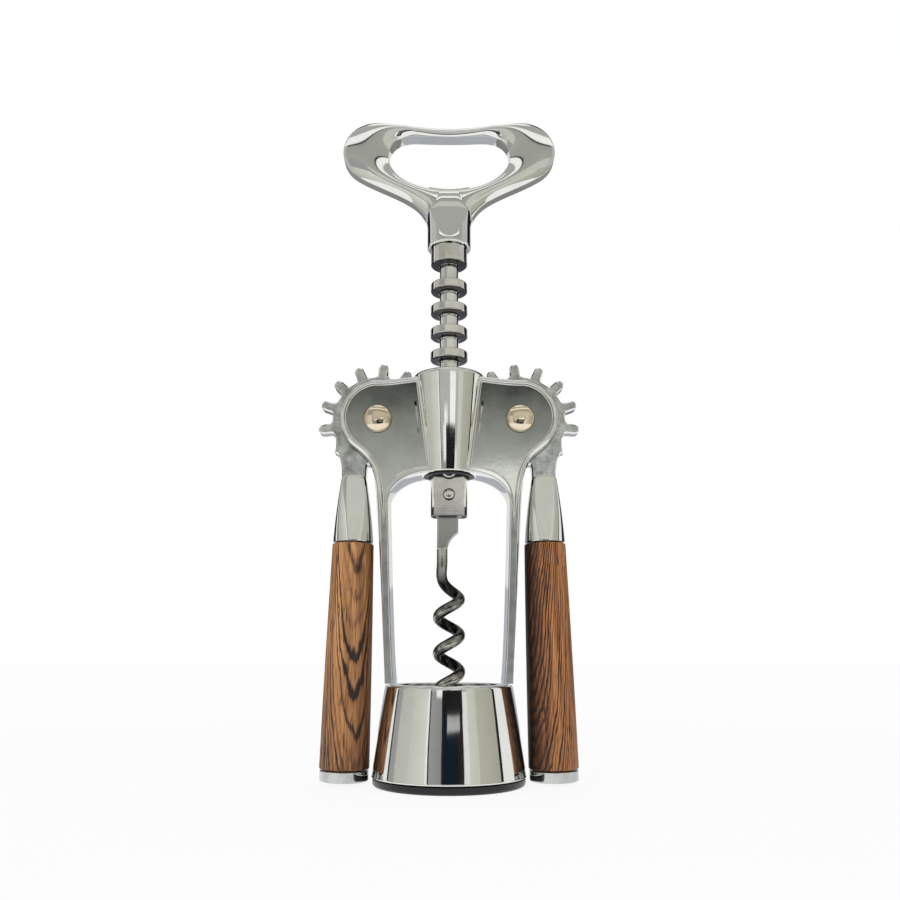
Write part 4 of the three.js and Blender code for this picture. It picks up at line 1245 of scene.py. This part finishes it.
def stem_profile():
    points = [(0, BLOCK_BOTTOM), (BLOCK_RADIUS, BLOCK_BOTTOM)]
    radii = [0, 0.12]
    block_top = FIRST_RING_Z - RACK_PITCH + half(RING_HEIGHT)
    points += [(BLOCK_RADIUS, block_top), (GROOVE_RADIUS, block_top)]
    radii += [0.45, 0.3]
    for ring in range(RING_COUNT):
        low = FIRST_RING_Z + RACK_PITCH * ring - half(RING_HEIGHT)
        high = low + RING_HEIGHT
        points += [(GROOVE_RADIUS, low), (RING_RADIUS, low), (RING_RADIUS, high), (GROOVE_RADIUS, high)]
        radii += [0.7, 0.45, 0.45, 0.7]
    points += [(GROOVE_RADIUS, COLLAR_BOTTOM), (RING_RADIUS, COLLAR_BOTTOM), (RING_RADIUS, COLLAR_TOP)]
    end = COLLAR_TOP + SPIGOT_HEIGHT
    points += [(SPIGOT_RADIUS, COLLAR_TOP), (SPIGOT_RADIUS, end), (0, end)]
    radii += [0.3, 0.45, 0.1, 0, 0.2, 0]
    return rounded(points, radii, 5, False)


def stem():
    made = revolved("rack_stem", stem_profile(), 96)
    reach = 8
    tall = BLOCK_FLAT_TOP - BLOCK_BOTTOM + OVERRUN
    for face in (-1, 1):
        place = (0, face * (BLOCK_FLAT + 3), BLOCK_FLAT_TOP - half(tall))
        combined(made, block(12, 6, tall, place))
    tall = BLOCK_SLOT_TOP - BLOCK_BOTTOM + OVERRUN
    combined(made, block(2 * reach, 2 * BLOCK_SLOT, tall, (0, 0, BLOCK_SLOT_TOP - half(tall))))
    for radius, height in RIVETS.values():
        combined(made, cross_bore(radius, reach, 0, height))
    return made


def rivet(radius, height):
    """Rivet with a low dome at each end."""
    face = BLOCK_FLAT - 0.05
    dome = [((radius - FIT) * rise, face + RIVET_DOME * run) for rise, run in quarter(8)]
    profile = [(across, -up) for across, up in dome] + dome[::-1]
    return moved(crosswise(revolved("rivet", profile, 48)), 0, 0, height)


def wire_point(height):
    """Middle of the wire: a helix, whose end goes over into the tang above the top turn."""
    drop = TOP_TURN_Z - height
    radius, angle = HELIX_RADIUS, -2 * math.pi * drop / HELIX_PITCH
    if drop <= 0:
        span = WIRE_START_Z - TOP_TURN_Z
        share = min(-drop / span, 1)
        ease = smooth(share)
        angle = span * 2 * math.pi / HELIX_PITCH * share * (1 - share) ** 2 + math.pi * ease
        radius = mixed(HELIX_RADIUS, WIRE_START_RADIUS, ease)
    return Vector((radius * math.cos(angle), radius * math.sin(angle), height))


def wire_radius(height):
    share = min((height - TIP_Z) / WIRE_POINT, 1)
    return WIRE_RADIUS * math.sin(half(math.pi) * max(share, 0.03))


def wire():
    """Round wire of the worm, flattened where it goes into the tang, down to its point."""
    top = TANG_NECK_Z + WIRE_OVERLAP
    count = int((top - TIP_Z) / HELIX_PITCH * WIRE_STEPS)
    rings = []
    for step in range(count + 1):
        height = mixed(top, TIP_Z, step / count)
        here = wire_point(height)
        along = (wire_point(height - 0.15) - wire_point(height + 0.15)).normalized()
        aside = Vector((-here.y, here.x, 0)).cross(along).normalized()
        lift = along.cross(aside)
        into_tang = smooth((height - TANG_NECK_Z + FLATTENING) / FLATTENING)
        flat = mixed(1, TANG_HALF_DEPTH / WIRE_RADIUS, into_tang)
        radius = wire_radius(height)
        ring = []
        for corner in range(WIRE_SIDES):
            turn = 2 * math.pi * corner / WIRE_SIDES
            out = aside * radius * math.cos(turn) + lift * radius * math.sin(turn)
            ring.append(here + Vector((out.x, out.y * flat, out.z)))
        rings.append(ring)
    return skinned("wire", rings, True)


def tang():
    """Flat tang with a curved notch on its right, and a head in the block's slot."""
    right = -WIRE_START_RADIUS + WIRE_RADIUS
    head_bottom = BLOCK_BOTTOM + FIT
    edge = Outline(-WIRE_START_RADIUS - WIRE_RADIUS, TANG_NECK_Z)
    edge.line(right, TANG_NECK_Z)
    edge.bend((right, half(TANG_NECK_Z + TANG_NOTCH_Z)), (TANG_RIGHT, TANG_NOTCH_Z), 14)
    edge.points += [
        (TANG_RIGHT, head_bottom), (TANG_HEAD, head_bottom), (TANG_HEAD, TANG_TOP),
        (-TANG_HEAD, TANG_TOP), (-TANG_HEAD, head_bottom),
        (-TANG_LEFT, head_bottom), (-TANG_LEFT, TANG_NOTCH_Z),
    ]
    levels = both_ways(cast_edge(TANG_HALF_DEPTH, 0.0, 0.4, 5))
    return lofted("tang", without_repeats(edge.points), levels)


def pin_head_profile(seat, direction):
    """Flattened dome on a seat, from its edge to its middle."""
    points = []
    for rise, run in quarter(10):
        points.append((PIN_HEAD_RADIUS * run**0.9, seat + direction * PIN_HEAD_HEIGHT * rise))
    return points


def pivot_pin():
    head = pin_head_profile(-HEAD_SEAT, -1)
    tail = HEAD_SEAT + PIN_HEAD_HEIGHT - CAP_WALL - FIT
    profile = head[::-1] + [(PIN_RADIUS, -HEAD_SEAT), (PIN_RADIUS, tail), (0, tail)]
    return crosswise(revolved("pivot_pin", profile, 64))


def pivot_cap():
    bore = PIN_RADIUS + FIT
    depth = HEAD_SEAT + PIN_HEAD_HEIGHT - CAP_WALL
    profile = [(0, depth), (bore, depth), (bore, HEAD_SEAT)] + pin_head_profile(HEAD_SEAT, 1)
    return crosswise(revolved("pivot_cap", profile, 64))


# Ring handle


def handle_outline():
    start, end = -58, 95
    middle = (LOBE_CENTRE, HANDLE_MIDDLE)
    high = polar(HANDLE_LOBE, end, 0, middle)
    dip = HANDLE_TOP - HANDLE_DIP
    foot = NECK_TOP + 3
    edge = Outline(0, foot)
    for step in range(1, 17):
        share = step / 16
        edge.line(NECK_SIDE * share, mixed(foot, NECK_TOP, max(2 * share - 1, 0) ** 1.5))
    edge.curve(
        (NECK_SIDE, NECK_TOP + NECK_PULL),
        polar(HANDLE_LOBE, start, -HANDLE_PULL, middle),
        polar(HANDLE_LOBE, start, 0, middle), 60,
    )
    edge.arc(middle, HANDLE_LOBE, start, end, 80)
    edge.curve((high[0] - CREST_PULL, high[1] - CREST_DROP), (DIP_PULL, dip), (0, dip), 60)
    return mirrored(edge.points)


def hole_outline():
    middle = half(HOLE_TOP + HOLE_BOTTOM) + HANDLE_DIP
    wide = HOLE_HALF_WIDTH
    edge = Outline(0, HOLE_BOTTOM)
    edge.curve((wide * 0.62, HOLE_BOTTOM), (wide, half(HOLE_BOTTOM + middle)), (wide, middle), 60)
    edge.curve(
        (wide, HOLE_TOP - half(HANDLE_DIP)),
        (wide * 0.75, HOLE_TOP + 0.5),
        (wide * 0.5, HOLE_TOP + 0.3), 60,
    )
    edge.bend((wide * 0.25, HOLE_TOP), (0, HOLE_TOP), 30)
    return mirrored(edge.points)


def ray_hit(outline, centre, angle):
    """Where a ray from the centre crosses a closed outline."""
    direction = (math.cos(angle), math.sin(angle))
    for (x1, z1), (x2, z2) in zip(outline, outline[1:] + outline[:1]):
        x1, z1, x2, z2 = x1 - centre[0], z1 - centre[1], x2 - centre[0], z2 - centre[1]
        side1 = direction[0] * z1 - direction[1] * x1
        side2 = direction[0] * z2 - direction[1] * x2
        if side1 <= 0 < side2 or side2 <= 0 < side1:
            share = side1 / (side1 - side2)
            x, z = mixed(x1, x2, share), mixed(z1, z2, share)
            if x * direction[0] + z * direction[1] > 0:
                return Vector((x + centre[0], z + centre[1]))
    raise RuntimeError("the handle's outline isn't closed round its centre")


def ring_section(width, outer_edge, hole_edge):
    """Half section of the ring, as (distance from the outer edge, half depth)."""
    crown = min(RING_CROWN, width * 0.33)
    points, radii = [(0, 0), (0, OUTER_WALL)], [0, outer_edge]
    for step in range(1, 24):
        share = half(1 - math.cos(math.pi * step / 24))
        swell = (4 * share * (1 - share)) ** 0.8
        points.append((width * share, mixed(OUTER_WALL, HOLE_WALL, share) + crown * swell))
        radii.append(0)
    points += [(width, HOLE_WALL), (width, 0)]
    radii += [hole_edge, 0]
    return rounded(points, radii, 4, False)


def ring_body(shape):
    """Ring of the handle: one section after another round its opening."""
    outer, inner = handle_outline(), hole_outline()
    centre = (0, half(HOLE_TOP + HOLE_BOTTOM))
    vertices = []
    for x, z in outer:
        angle = math.atan2(z - centre[1], x)
        out_point, in_point = Vector((x, z)), ray_hit(inner, centre, angle)
        width = (in_point - out_point).length
        section = ring_section(width, shape.handle_edge / MM, shape.hole_edge / MM)
        places = [(out_point.lerp(in_point, distance / width), depth) for distance, depth in section]
        vertices += [(place.x, -depth, place.y) for place, depth in places]
        vertices += [(place.x, depth, place.y) for place, depth in places[-2:0:-1]]
    made = solid("ring", vertices, joined(len(outer), len(vertices) // len(outer), True, False))
    made.data.flip_normals()
    return made


def handle_neck():
    """Neck: round, with flat sides and a leaning facet at the front and the back."""
    top = HOLE_BOTTOM - 1
    rise = top - NECK_TOP
    profile = [
        (0, NECK_BOTTOM),
        (NECK_RADIUS, NECK_BOTTOM),
        (NECK_RADIUS, NECK_TOP),
        (NECK_RADIUS + 0.3, NECK_TOP + rise * 0.5),
        (NECK_RADIUS * 0.8, NECK_TOP + rise * 0.8),
        (NECK_RADIUS * 0.4, top),
        (0, top),
    ]
    made = revolved("neck", rounded(profile, [0, 0.45, 3, 3, 3, 1, 0], 8, False), 128)
    below = 4
    overlap, drop = polar(below, 90 - FACET_LEAN)
    for face in (-1, 1):
        facet = turned(block(20, 6, 24, (0, 3 * face, 12)), "X", FACET_LEAN * face)
        combined(made, moved(facet, 0, face * (NECK_RADIUS - 0.2 + overlap), FACET_FOOT - drop))
        combined(made, block(2, 20, 40, (face * (NECK_SIDE + 1), 0, NECK_TOP)))
    return made


def opener_lip():
    """Lip of the bottle opener, with a hollow between two low horns."""
    wide = OPENER_HALF_WIDTH
    horn = HOLE_BOTTOM + OPENER_HORN
    edge = Outline(-wide, HOLE_BOTTOM - OPENER_ROOT)
    edge.line(wide, HOLE_BOTTOM - OPENER_ROOT)
    edge.line(wide, horn)
    edge.bend((0, HOLE_BOTTOM - OPENER_HOLLOW), (-wide, horn), 24)
    return lofted("lip", without_repeats(edge.points), both_ways(cast_edge(HOLE_WALL, 0, 0.2, 4)))


def handle(shape):
    made = combined(ring_body(shape), handle_neck(), "UNION")
    combined(made, opener_lip(), "UNION")
    return cut(made, rod(RING_RADIUS + FIT, NECK_BOTTOM - OVERRUN, COLLAR_TOP + FIT, 64))


# Studio


WALL_RADIUS = 240
FLOOR_HALF_WIDTH = 3000
WHITE = (1, 1, 1)
LILAC = (0.7, 0.715, 0.745)
NAVY = (0.08, 0.13, 0.17)
MAROON = (0.24, 0.06, 0.05)
BOARD = (0.8, 0.8, 0.77)

# Whole-height bands: from and to in degrees round the object, with the tone at each end.
STUDIO_BANDS = (
    (-181, -160, 0.9, 0.9),
    (-160, -138, 0.5, 0.6),
    (-138, -112, 0.06, 0.16),
    (-112, -99, 0.95, 0.95),
    (-99, -96, 0.1, 0.1),
    (-96, -85, 0.62, 0.64),
    (-85, -60, (0.75, 0.75, 0.72), (0.78, 0.78, 0.75)),
    (-60, -34, BOARD, (0.87, 0.87, 0.84)),
    (-34, -31, 0.97, 0.97),
    (-31, -29, 0.14, 0.14),
    (-29, -11, 0.62, 0.56),
    (-11, -8, 0.15, 0.15),
    (-8, 13, NAVY, NAVY),
    (13, 14, MAROON, MAROON),
    (14, 21, 0.15, 0.15),
    (21, 22, MAROON, MAROON),
    (22, 30, 0.92, 0.92),
    (30, 45, (0.84, 0.84, 0.8), (0.8, 0.8, 0.76)),
    (45, 79, (0.73, 0.73, 0.68), (0.68, 0.68, 0.63)),
    (79, 84, 0.1, 0.1),
    (84, 108, 0.95, 0.95),
    (108, 138, 0.16, 0.05),
    (138, 160, 0.6, 0.5),
    (160, 181, 0.9, 0.9),
)
# Panels hung in front of the bands: from and to in degrees, from and to in height,
# the width of their soft edges, and the tone at the bottom and the top.
PANELS = (
    (-182, -140, -80, 70, 4, LILAC, LILAC),
    (140, 182, -80, 70, 4, LILAC, LILAC),
    (-30, 30, 92, 180, 3, 0.7, BOARD),
    (-21, -11, 84, 102, 1.5, 1.0, 1.0),
    (-11, 22, 72, 102, 1, 0.12, 0.12),
    (-3, 17, 58, 72, 0.7, 0.76, 0.66),
    (3, 21, 103, 132, 1.5, 1.0, 1.0),
    (-16, -5, 103, 113, 3, 1.0, 1.0),
    (55, 106, 178, 960, 8, 0.75, 0.75),
    (-106, -55, 178, 960, 8, 0.75, 0.75),
    (-60, 60, 180, 262, 3, BOARD, BOARD),
    (-64, -26, 180, 262, 6, 0.64, 0.64),
    (-70, 70, 258, 350, 5, (0.68, 0.68, 0.65), (0.64, 0.64, 0.62)),
    (-70, 70, 350, 361, 3, 0.1, 0.1),
    (-90, 90, 361, 455, 8, 1.0, 1.0),
    (-90, 90, 455, 960, 12, (0.68, 0.68, 0.66), 0.7),
)


def tone(level):
    return Vector(level if isinstance(level, tuple) else (level, level, level))


def cover(value, start, end, soft):
    """One between two edges and zero outside them, with soft edges."""
    return smooth((value - start) / soft + 0.5) * smooth((end - value) / soft + 0.5)


def studio_column(azimuth, heights):
    """Linear tones of the studio in one direction from the object, at several heights in millimetres."""
    band = tone(0.6)
    for start, end, first, last in STUDIO_BANDS:
        if start <= azimuth < end:
            band = tone(first).lerp(tone(last), (azimuth - start) / (end - start))
    found = [band] * len(heights)
    for left, right, bottom, top, soft, low, high in PANELS:
        across = cover(azimuth, left, right, soft)
        for place, height in enumerate(heights if across else []):
            share = across * cover(height, bottom, top, soft)
            if share > 0:
                here = tone(low).lerp(tone(high), min(max((height - bottom) / (top - bottom), 0), 1))
                found[place] = found[place].lerp(here, share)
    return [tuple(linear(part) for part in level) for level in found]


def steps_between(*stretches):
    """Places along several stretches of (start, end, step), and the last end."""
    places = []
    for start, end, step in stretches:
        places += [start + step * index for index in range(round((end - start) / step))]
    return places + [stretches[-1][1]]


def studio_wall():
    """Round wall of softboxes and flags that only reflections see."""
    columns = steps_between((-180, -114, 2), (-114, 114, 0.5), (114, 180, 2))
    rows = steps_between(
        (-60, 0, 10), (0, 60, 3), (60, 92, 1), (92, 240, 3), (240, 420, 5), (420, 900, 30)
    )
    vertices, tones = [], []
    for azimuth in columns:
        x, y = polar(WALL_RADIUS, azimuth - 90)
        vertices += [(x, y, height) for height in rows]
        tones += studio_column(azimuth, rows)
    per = len(rows)
    faces = []
    for column in range(len(columns) - 1):
        here, there = column * per, (column + 1) * per
        faces += [(here + row, there + row, there + row + 1, here + row + 1) for row in range(per - 1)]
    wall = solid("studio_wall", vertices, faces)
    wall.data.transform(Matrix.Scale(MM, 4))
    layer = wall.data.color_attributes.new("tone", "FLOAT_COLOR", "POINT")
    for index, found in enumerate(tones):
        layer.data[index].color = (*found, 1)
    return wall


def only_reflected(made):
    for ray in ("camera", "diffuse", "transmission", "volume_scatter", "shadow"):
        setattr(made, "visible_" + ray, False)


def glow(name):
    """Material that shows its own colour attribute as light."""
    material = bpy.data.materials.new(name)
    material.use_nodes = True
    tree = material.node_tree
    tree.nodes.clear()
    tone = tree.nodes.new("ShaderNodeVertexColor")
    tone.layer_name = "tone"
    tone = Wire(tree, tone.outputs["Color"])
    light = tone.node("ShaderNodeEmission", None, {"Color": tone, "Strength": 1.0})
    shown(light, "ShaderNodeOutputMaterial")
    return material


def shown(light, kind):
    """Ends a node tree that was empty in an output of a kind."""
    output = light.tree.nodes.new(kind)
    light.tree.links.new(light.socket, output.inputs["Surface"])


def seen_by(tree):
    """One where the camera, a reflection or a clear body looks, and nothing for plain light."""
    path = tree.nodes.new("ShaderNodeLightPath")
    camera = Wire(tree, path.outputs["Is Camera Ray"])
    glossy = Wire(tree, path.outputs["Is Glossy Ray"])
    through = Wire(tree, path.outputs["Is Transmission Ray"])
    return camera.math("MAXIMUM", camera.math("MAXIMUM", camera, glossy), through)


class CORKSCREW_OT_stage(bpy.types.Operator):
    """Floor, white surroundings, lamps, studio wall and camera"""

    bl_idname = "corkscrew.stage"
    bl_label = "Stage"

    def execute(self, context):
        studio = context.scene.corkscrew_studio
        self.set_world(context.scene, studio)
        self.lay_floor(studio)
        self.hang_lamps(studio)
        wall = studio_wall()
        wall.data.materials.append(glow("studio_glow"))
        only_reflected(wall)
        self.place_camera(context.scene, studio)
        context.scene.view_settings.view_transform = "Standard"
        return {"FINISHED"}

    def set_world(self, scene, studio):
        world = bpy.data.worlds.new("studio")
        world.use_nodes = True
        tree = world.node_tree
        tree.nodes.clear()
        seen = seen_by(tree)
        strength = studio.daylight + seen * (1 - studio.daylight)
        light = seen.node("ShaderNodeBackground", None, {"Color": opaque(WHITE), "Strength": strength})
        shown(light, "ShaderNodeOutputWorld")
        scene.world = world

    def lay_floor(self, studio):
        wide = FLOOR_HALF_WIDTH
        corners = [(-wide, -wide, 0), (wide, -wide, 0), (wide, wide, 0), (-wide, wide, 0)]
        floor = solid("floor", corners, [(0, 1, 2, 3)])
        floor.data.transform(Matrix.Scale(MM, 4))
        finish = Finish("pale_floor", 0.0, studio.floor_colour, 0.6)
        mottle = finish.place.noise(40, 2, 0.5)
        pale = tuple(level * 1.02 for level in studio.floor_colour)
        finish.feed("Base Color", mottle.blend(studio.floor_colour, pale))
        finish.shader.inputs["Specular IOR Level"].default_value = 0.1
        tree = finish.material.node_tree
        seen = seen_by(tree)
        white = seen.node("ShaderNodeEmission", None, {"Color": opaque(WHITE), "Strength": 1.0})
        shaded = Wire(tree, finish.shader.outputs["BSDF"])
        both = seen.node("ShaderNodeMixShader", None, {0: seen * studio.floor_glow, 1: shaded, 2: white})
        tree.links.new(both.socket, tree.nodes["Material Output"].inputs["Surface"])
        floor.data.materials.append(finish.material)

    def hang_lamps(self, studio):
        middle = Vector((0, 0, 0.09))
        lamps = {
            "key_lamp": ((-0.35, -0.45, 0.6), 0.5, studio.key_power),
            "fill_lamp": ((0.5, -0.4, 0.35), 0.6, studio.key_power * 0.5),
        }
        for name, (place, size, power) in lamps.items():
            data = bpy.data.lights.new(name, "AREA")
            data.size = size
            data.energy = power
            lamp = bpy.data.objects.new(name, data)
            lamp.location = place
            aim = middle - lamp.location
            lamp.rotation_euler = aim.to_track_quat("-Z", "Y").to_euler()
            lamp.visible_glossy = False
            bpy.context.scene.collection.objects.link(lamp)

    def place_camera(self, scene, studio):
        data = bpy.data.cameras.new("camera")
        data.lens = studio.lens
        data.sensor_width = 36
        data.clip_start = 0.01
        data.clip_end = 20
        camera = bpy.data.objects.new("camera", data)
        camera.location = studio.camera_place
        camera.rotation_euler = (math.radians(90) + studio.camera_tilt, 0, 0)
        scene.collection.objects.link(camera)
        scene.camera = camera


def chrome(metal):
    """Plating of the castings, made for the first of them."""
    name = "chrome_plating"
    values = (metal.chrome_colour, metal.chrome_shade, metal.polish, metal.ripple)
    return bpy.data.materials.get(name) or plated(name, *values)


class CORKSCREW_OT_casting(bpy.types.Operator):
    """Frame casting: two cheeks with sunk fields, the boss and the legs"""

    bl_idname = "corkscrew.casting"
    bl_label = "Frame casting"

    def execute(self, context):
        metal = context.scene.corkscrew_metal
        made = combined(cheeks(context.scene.corkscrew_shape), boss(), "UNION")
        cut(made, *ring_slots())
        finished(made, "casting", "frame", ["frame_casting"], chrome(metal), crease=28)
        # The fields get a painted dark reflection that grows towards their top.
        values = (metal.field_colour, metal.field_painted_reflection, metal.field_polish, ARCH_TOP, SHOULDER_Z)
        other_finish(made, painted_reflection_plating("field_plating", *values), self.on_field)
        brushed = satin_metal("leg_plating", metal.leg_colour, metal.leg_shade, metal.leg_polish)
        other_finish(made, brushed, lambda normal, centre: abs(normal.y) > 0.97 and centre.z < KNEE_Z)
        return {"FINISHED"}

    def on_field(self, normal, centre):
        return abs(normal.y) > 0.99 and abs(abs(centre.y) - FIELD_FLOOR) < 0.05


class CORKSCREW_OT_bell(bpy.types.Operator):
    """Bell and the rubber ring under it"""

    bl_idname = "corkscrew.bell"
    bl_label = "Bell and rubber ring"

    def execute(self, context):
        material = chrome(context.scene.corkscrew_metal)
        made = revolved("bell", bell_profile(), 192)
        finished(made, "bell_shell", "frame", ["bell"], material)
        soft = context.scene.corkscrew_soft
        rubber = moulded("seal_rubber", soft.rubber_colour, soft.rubber_dust, 0.22, 2600)
        made = revolved("seal", seal_profile(), 160)
        finished(made, "bell_seal", "frame", ["bell_seal_ring"], rubber)
        return {"FINISHED"}


class CORKSCREW_OT_bush(bpy.types.Operator):
    """Dark guide bush in the boss"""

    bl_idname = "corkscrew.bush"
    bl_label = "Guide bush"

    def execute(self, context):
        soft = context.scene.corkscrew_soft
        nylon = moulded("guide_nylon", soft.nylon_colour, soft.nylon_dust, 0.35, 3200)
        bore = RING_RADIUS + FIT
        top = BOSS_BOTTOM - FIT
        points = [
            (bore, top - BUSH_FLANGE),
            (BUSH_FLANGE_RADIUS, top - BUSH_FLANGE),
            (BUSH_FLANGE_RADIUS, top),
            (BUSH_RADIUS, top),
            (BUSH_RADIUS, BOSS_BOTTOM + BUSH_HEIGHT - FIT),
            (bore, BOSS_BOTTOM + BUSH_HEIGHT - FIT),
        ]
        made = revolved("bush", rounded(points, [0.1, 0.14, 0.1, 0.1, 0.1, 0.1], 5), 96)
        finished(made, "bush", "bush", ["guide_bush"], nylon)
        return {"FINISHED"}


class CORKSCREW_OT_levers(bpy.types.Operator):
    """Both levers, with their gear sectors and ferrules"""

    bl_idname = "corkscrew.levers"
    bl_label = "Levers"

    def execute(self, context):
        shape = context.scene.corkscrew_shape
        metal = context.scene.corkscrew_metal
        plating = chrome(metal)
        satin = satin_metal("satin_nickel", metal.satin_colour, metal.satin_shade, metal.satin_polish)
        for name, side in SIDES.items():
            body, nodes = f"{name}_arm", [f"{name}_lever"]
            gear = gear_plate(side, shape)
            finished(gear, f"{name}_gear", body, nodes, satin, crease=24)
            other_finish(gear, plating, lambda normal, centre: abs(normal.y) < 0.97)
            finished(shank(side), f"{name}_wing", body, nodes, plating, crease=34)
        return {"FINISHED"}


# How each grip was cut from its plank, in metres: where the heart of the tree lies from the grip's
# axis, how it leans, how far the grain bends and wobbles, and how deep the whole tone is. Spacing,
# contrast and stain change its rings and colour, edge paints shade on its inner side, and foot
# darkens its lower end.
GRAIN = {
    "left": {
        "seed": 0.31, "level": 0.028, "heart": (-0.0022, 0.0053), "lean": (0.0, 0.066),
        "bend": 0.35, "wobble": 0.0006, "inside": 1, "depth": 0.16,
        "spacing": 0.6, "contrast": 1.1, "stain": (1.1, 1.0, 0.8), "edge": 0.3, "foot": 0.2,
    },
    "right": {
        "seed": 0.74, "level": 0.04, "heart": (0.0125, 0.004), "lean": (-0.16, 0.02),
        "bend": 2.2, "wobble": 0.0012, "inside": -1, "depth": 0.24,
        "spacing": 0.9, "contrast": 1.3, "stain": (1.1, 0.84, 0.5), "edge": 0.8, "foot": 0.0,
    },
}


class CORKSCREW_OT_grips(bpy.types.Operator):
    """Wooden grips and their chromed end caps"""

    bl_idname = "corkscrew.grips"
    bl_label = "Grips and end caps"

    def execute(self, context):
        wood = context.scene.corkscrew_wood
        metal = context.scene.corkscrew_metal
        plating = plated("cap_plating", metal.cap_colour, metal.cap_shade, 0.06, 0.35)
        for name, side in SIDES.items():
            material = figured_wood(f"{name}_grip_wood", wood, GRAIN[name])
            stand = ((AXIS_FOOT * side, 0, 0), -AXIS_LEAN * side)
            body = f"{name}_arm"
            made = revolved("grip", grip_profile(), 96)
            finished(made, f"{name}_wood", body, [f"{name}_grip"], material, lean=stand)
            made = revolved("cap", end_cap_profile(), 96)
            finished(made, f"{name}_cap", body, [f"{name}_end_cap"], plating, lean=stand)
        return {"FINISHED"}


class CORKSCREW_OT_pivots(bpy.types.Operator):
    """Pivot pins, the caps on their tails and the thrust washers"""

    bl_idname = "corkscrew.pivots"
    bl_label = "Pivots"

    def execute(self, context):
        metal = context.scene.corkscrew_metal
        nickel = plated("pin_nickel", metal.nickel_colour, metal.nickel_shade, 0.11, 0.02)
        brass = turned_metal("washer_brass", metal.brass_colour, metal.brass_shade, 0.25)
        for name, side in SIDES.items():
            self.add(pivot_pin(), side, f"{name}_pin", f"{name}_pivot_pin", "pin_nickel", nickel)
            self.add(pivot_cap(), side, f"{name}_cap_nut", f"{name}_pivot_cap", "pin_nickel", nickel)
            for place in ("front", "rear"):
                node = f"{name}_{place}_washer"
                low, high = box_mm(node)
                points = [(WASHER_BORE, low.y), (WASHER_RADIUS, low.y)]
                points += [(WASHER_RADIUS, high.y), (WASHER_BORE, high.y)]
                made = crosswise(revolved("washer", rounded(points, 0.12, 4), 64))
                self.add(made, side, f"{name}_{place}_thrust_washer", node, "washer_brass", brass)
        return {"FINISHED"}

    def add(self, made, side, name, node, slot, material):
        finished(moved(made, PIVOT_X * side, 0, PIVOT_Z), name, "frame", [node], material)


class CORKSCREW_OT_stem(bpy.types.Operator):
    """Ringed stem, its slotted block and the two rivets"""

    bl_idname = "corkscrew.stem"
    bl_label = "Stem"

    def execute(self, context):
        metal = context.scene.corkscrew_metal
        # The stem's steel carries painted shade on the undersides of its rings.
        steel = turned_metal("turned_steel", metal.steel_colour, metal.steel_shade, 0.05, metal.steel_under_shade)
        finished(stem(), "stem", "stem", ["rack_stem"], steel, crease=35)
        for name, (radius, height) in RIVETS.items():
            made = rivet(radius, height)
            finished(made, f"{name}_rivet", "stem", [f"{name}_worm_rivet"], steel)
        return {"FINISHED"}


class CORKSCREW_OT_worm(bpy.types.Operator):
    """Helix and tang of the worm"""

    bl_idname = "corkscrew.worm"
    bl_label = "Worm"

    def execute(self, context):
        metal = context.scene.corkscrew_metal
        # The worm's steel carries a painted highlight along its coils as well as real rubbed specks.
        material = dark_wire("worm_steel", metal.worm_colour, metal.worm_wear_and_highlight, metal.tang_colour)
        made = gathered("worm", wire(), tang())
        finished(made, "screw", "stem", ["worm"], material)
        return {"FINISHED"}


class CORKSCREW_OT_handle(bpy.types.Operator):
    """Ring handle with the bottle opener's lip"""

    bl_idname = "corkscrew.handle"
    bl_label = "Ring handle"

    def execute(self, context):
        material = chrome(context.scene.corkscrew_metal)
        made = handle(context.scene.corkscrew_shape)
        finished(made, "handle", "stem", ["handle_ring"], material, crease=30)
        return {"FINISHED"}


OPERATORS = (
    CORKSCREW_OT_stage,
    CORKSCREW_OT_casting,
    CORKSCREW_OT_bell,
    CORKSCREW_OT_bush,
    CORKSCREW_OT_levers,
    CORKSCREW_OT_grips,
    CORKSCREW_OT_pivots,
    CORKSCREW_OT_stem,
    CORKSCREW_OT_worm,
    CORKSCREW_OT_handle,
)

SETTINGS = {
    "corkscrew_metal": MetalSettings,
    "corkscrew_wood": WoodSettings,
    "corkscrew_soft": SoftSettings,
    "corkscrew_shape": ShapeSettings,
    "corkscrew_studio": StudioSettings,
}


class CORKSCREW_PT_panel(bpy.types.Panel):
    """Lists the pieces and their settings"""

    bl_label = "Winged Corkscrew"
    bl_idname = "CORKSCREW_PT_panel"
    bl_space_type = "VIEW_3D"
    bl_region_type = "UI"
    bl_category = "Corkscrew"

    def draw(self, context):
        for operator in OPERATORS:
            self.layout.operator(operator.bl_idname)
        for name, group in SETTINGS.items():
            settings = getattr(context.scene, name)
            column = self.layout.box().column()
            column.label(text=group.__doc__)
            for prop in group.__annotations__:
                column.prop(settings, prop)


def register():
    for group in SETTINGS.values():
        bpy.utils.register_class(group)
    for name, group in SETTINGS.items():
        setattr(bpy.types.Scene, name, bpy.props.PointerProperty(type=group))
    for operator in OPERATORS:
        bpy.utils.register_class(operator)
    bpy.utils.register_class(CORKSCREW_PT_panel)


def unregister():
    bpy.utils.unregister_class(CORKSCREW_PT_panel)
    for operator in reversed(OPERATORS):
        bpy.utils.unregister_class(operator)
    for name, group in SETTINGS.items():
        delattr(bpy.types.Scene, name)
        bpy.utils.unregister_class(group)


def main():
    register()
    for operator in OPERATORS:
        group, name = operator.bl_idname.split(".")
        getattr(getattr(bpy.ops, group), name)()


if __name__ == "__main__":
    main()
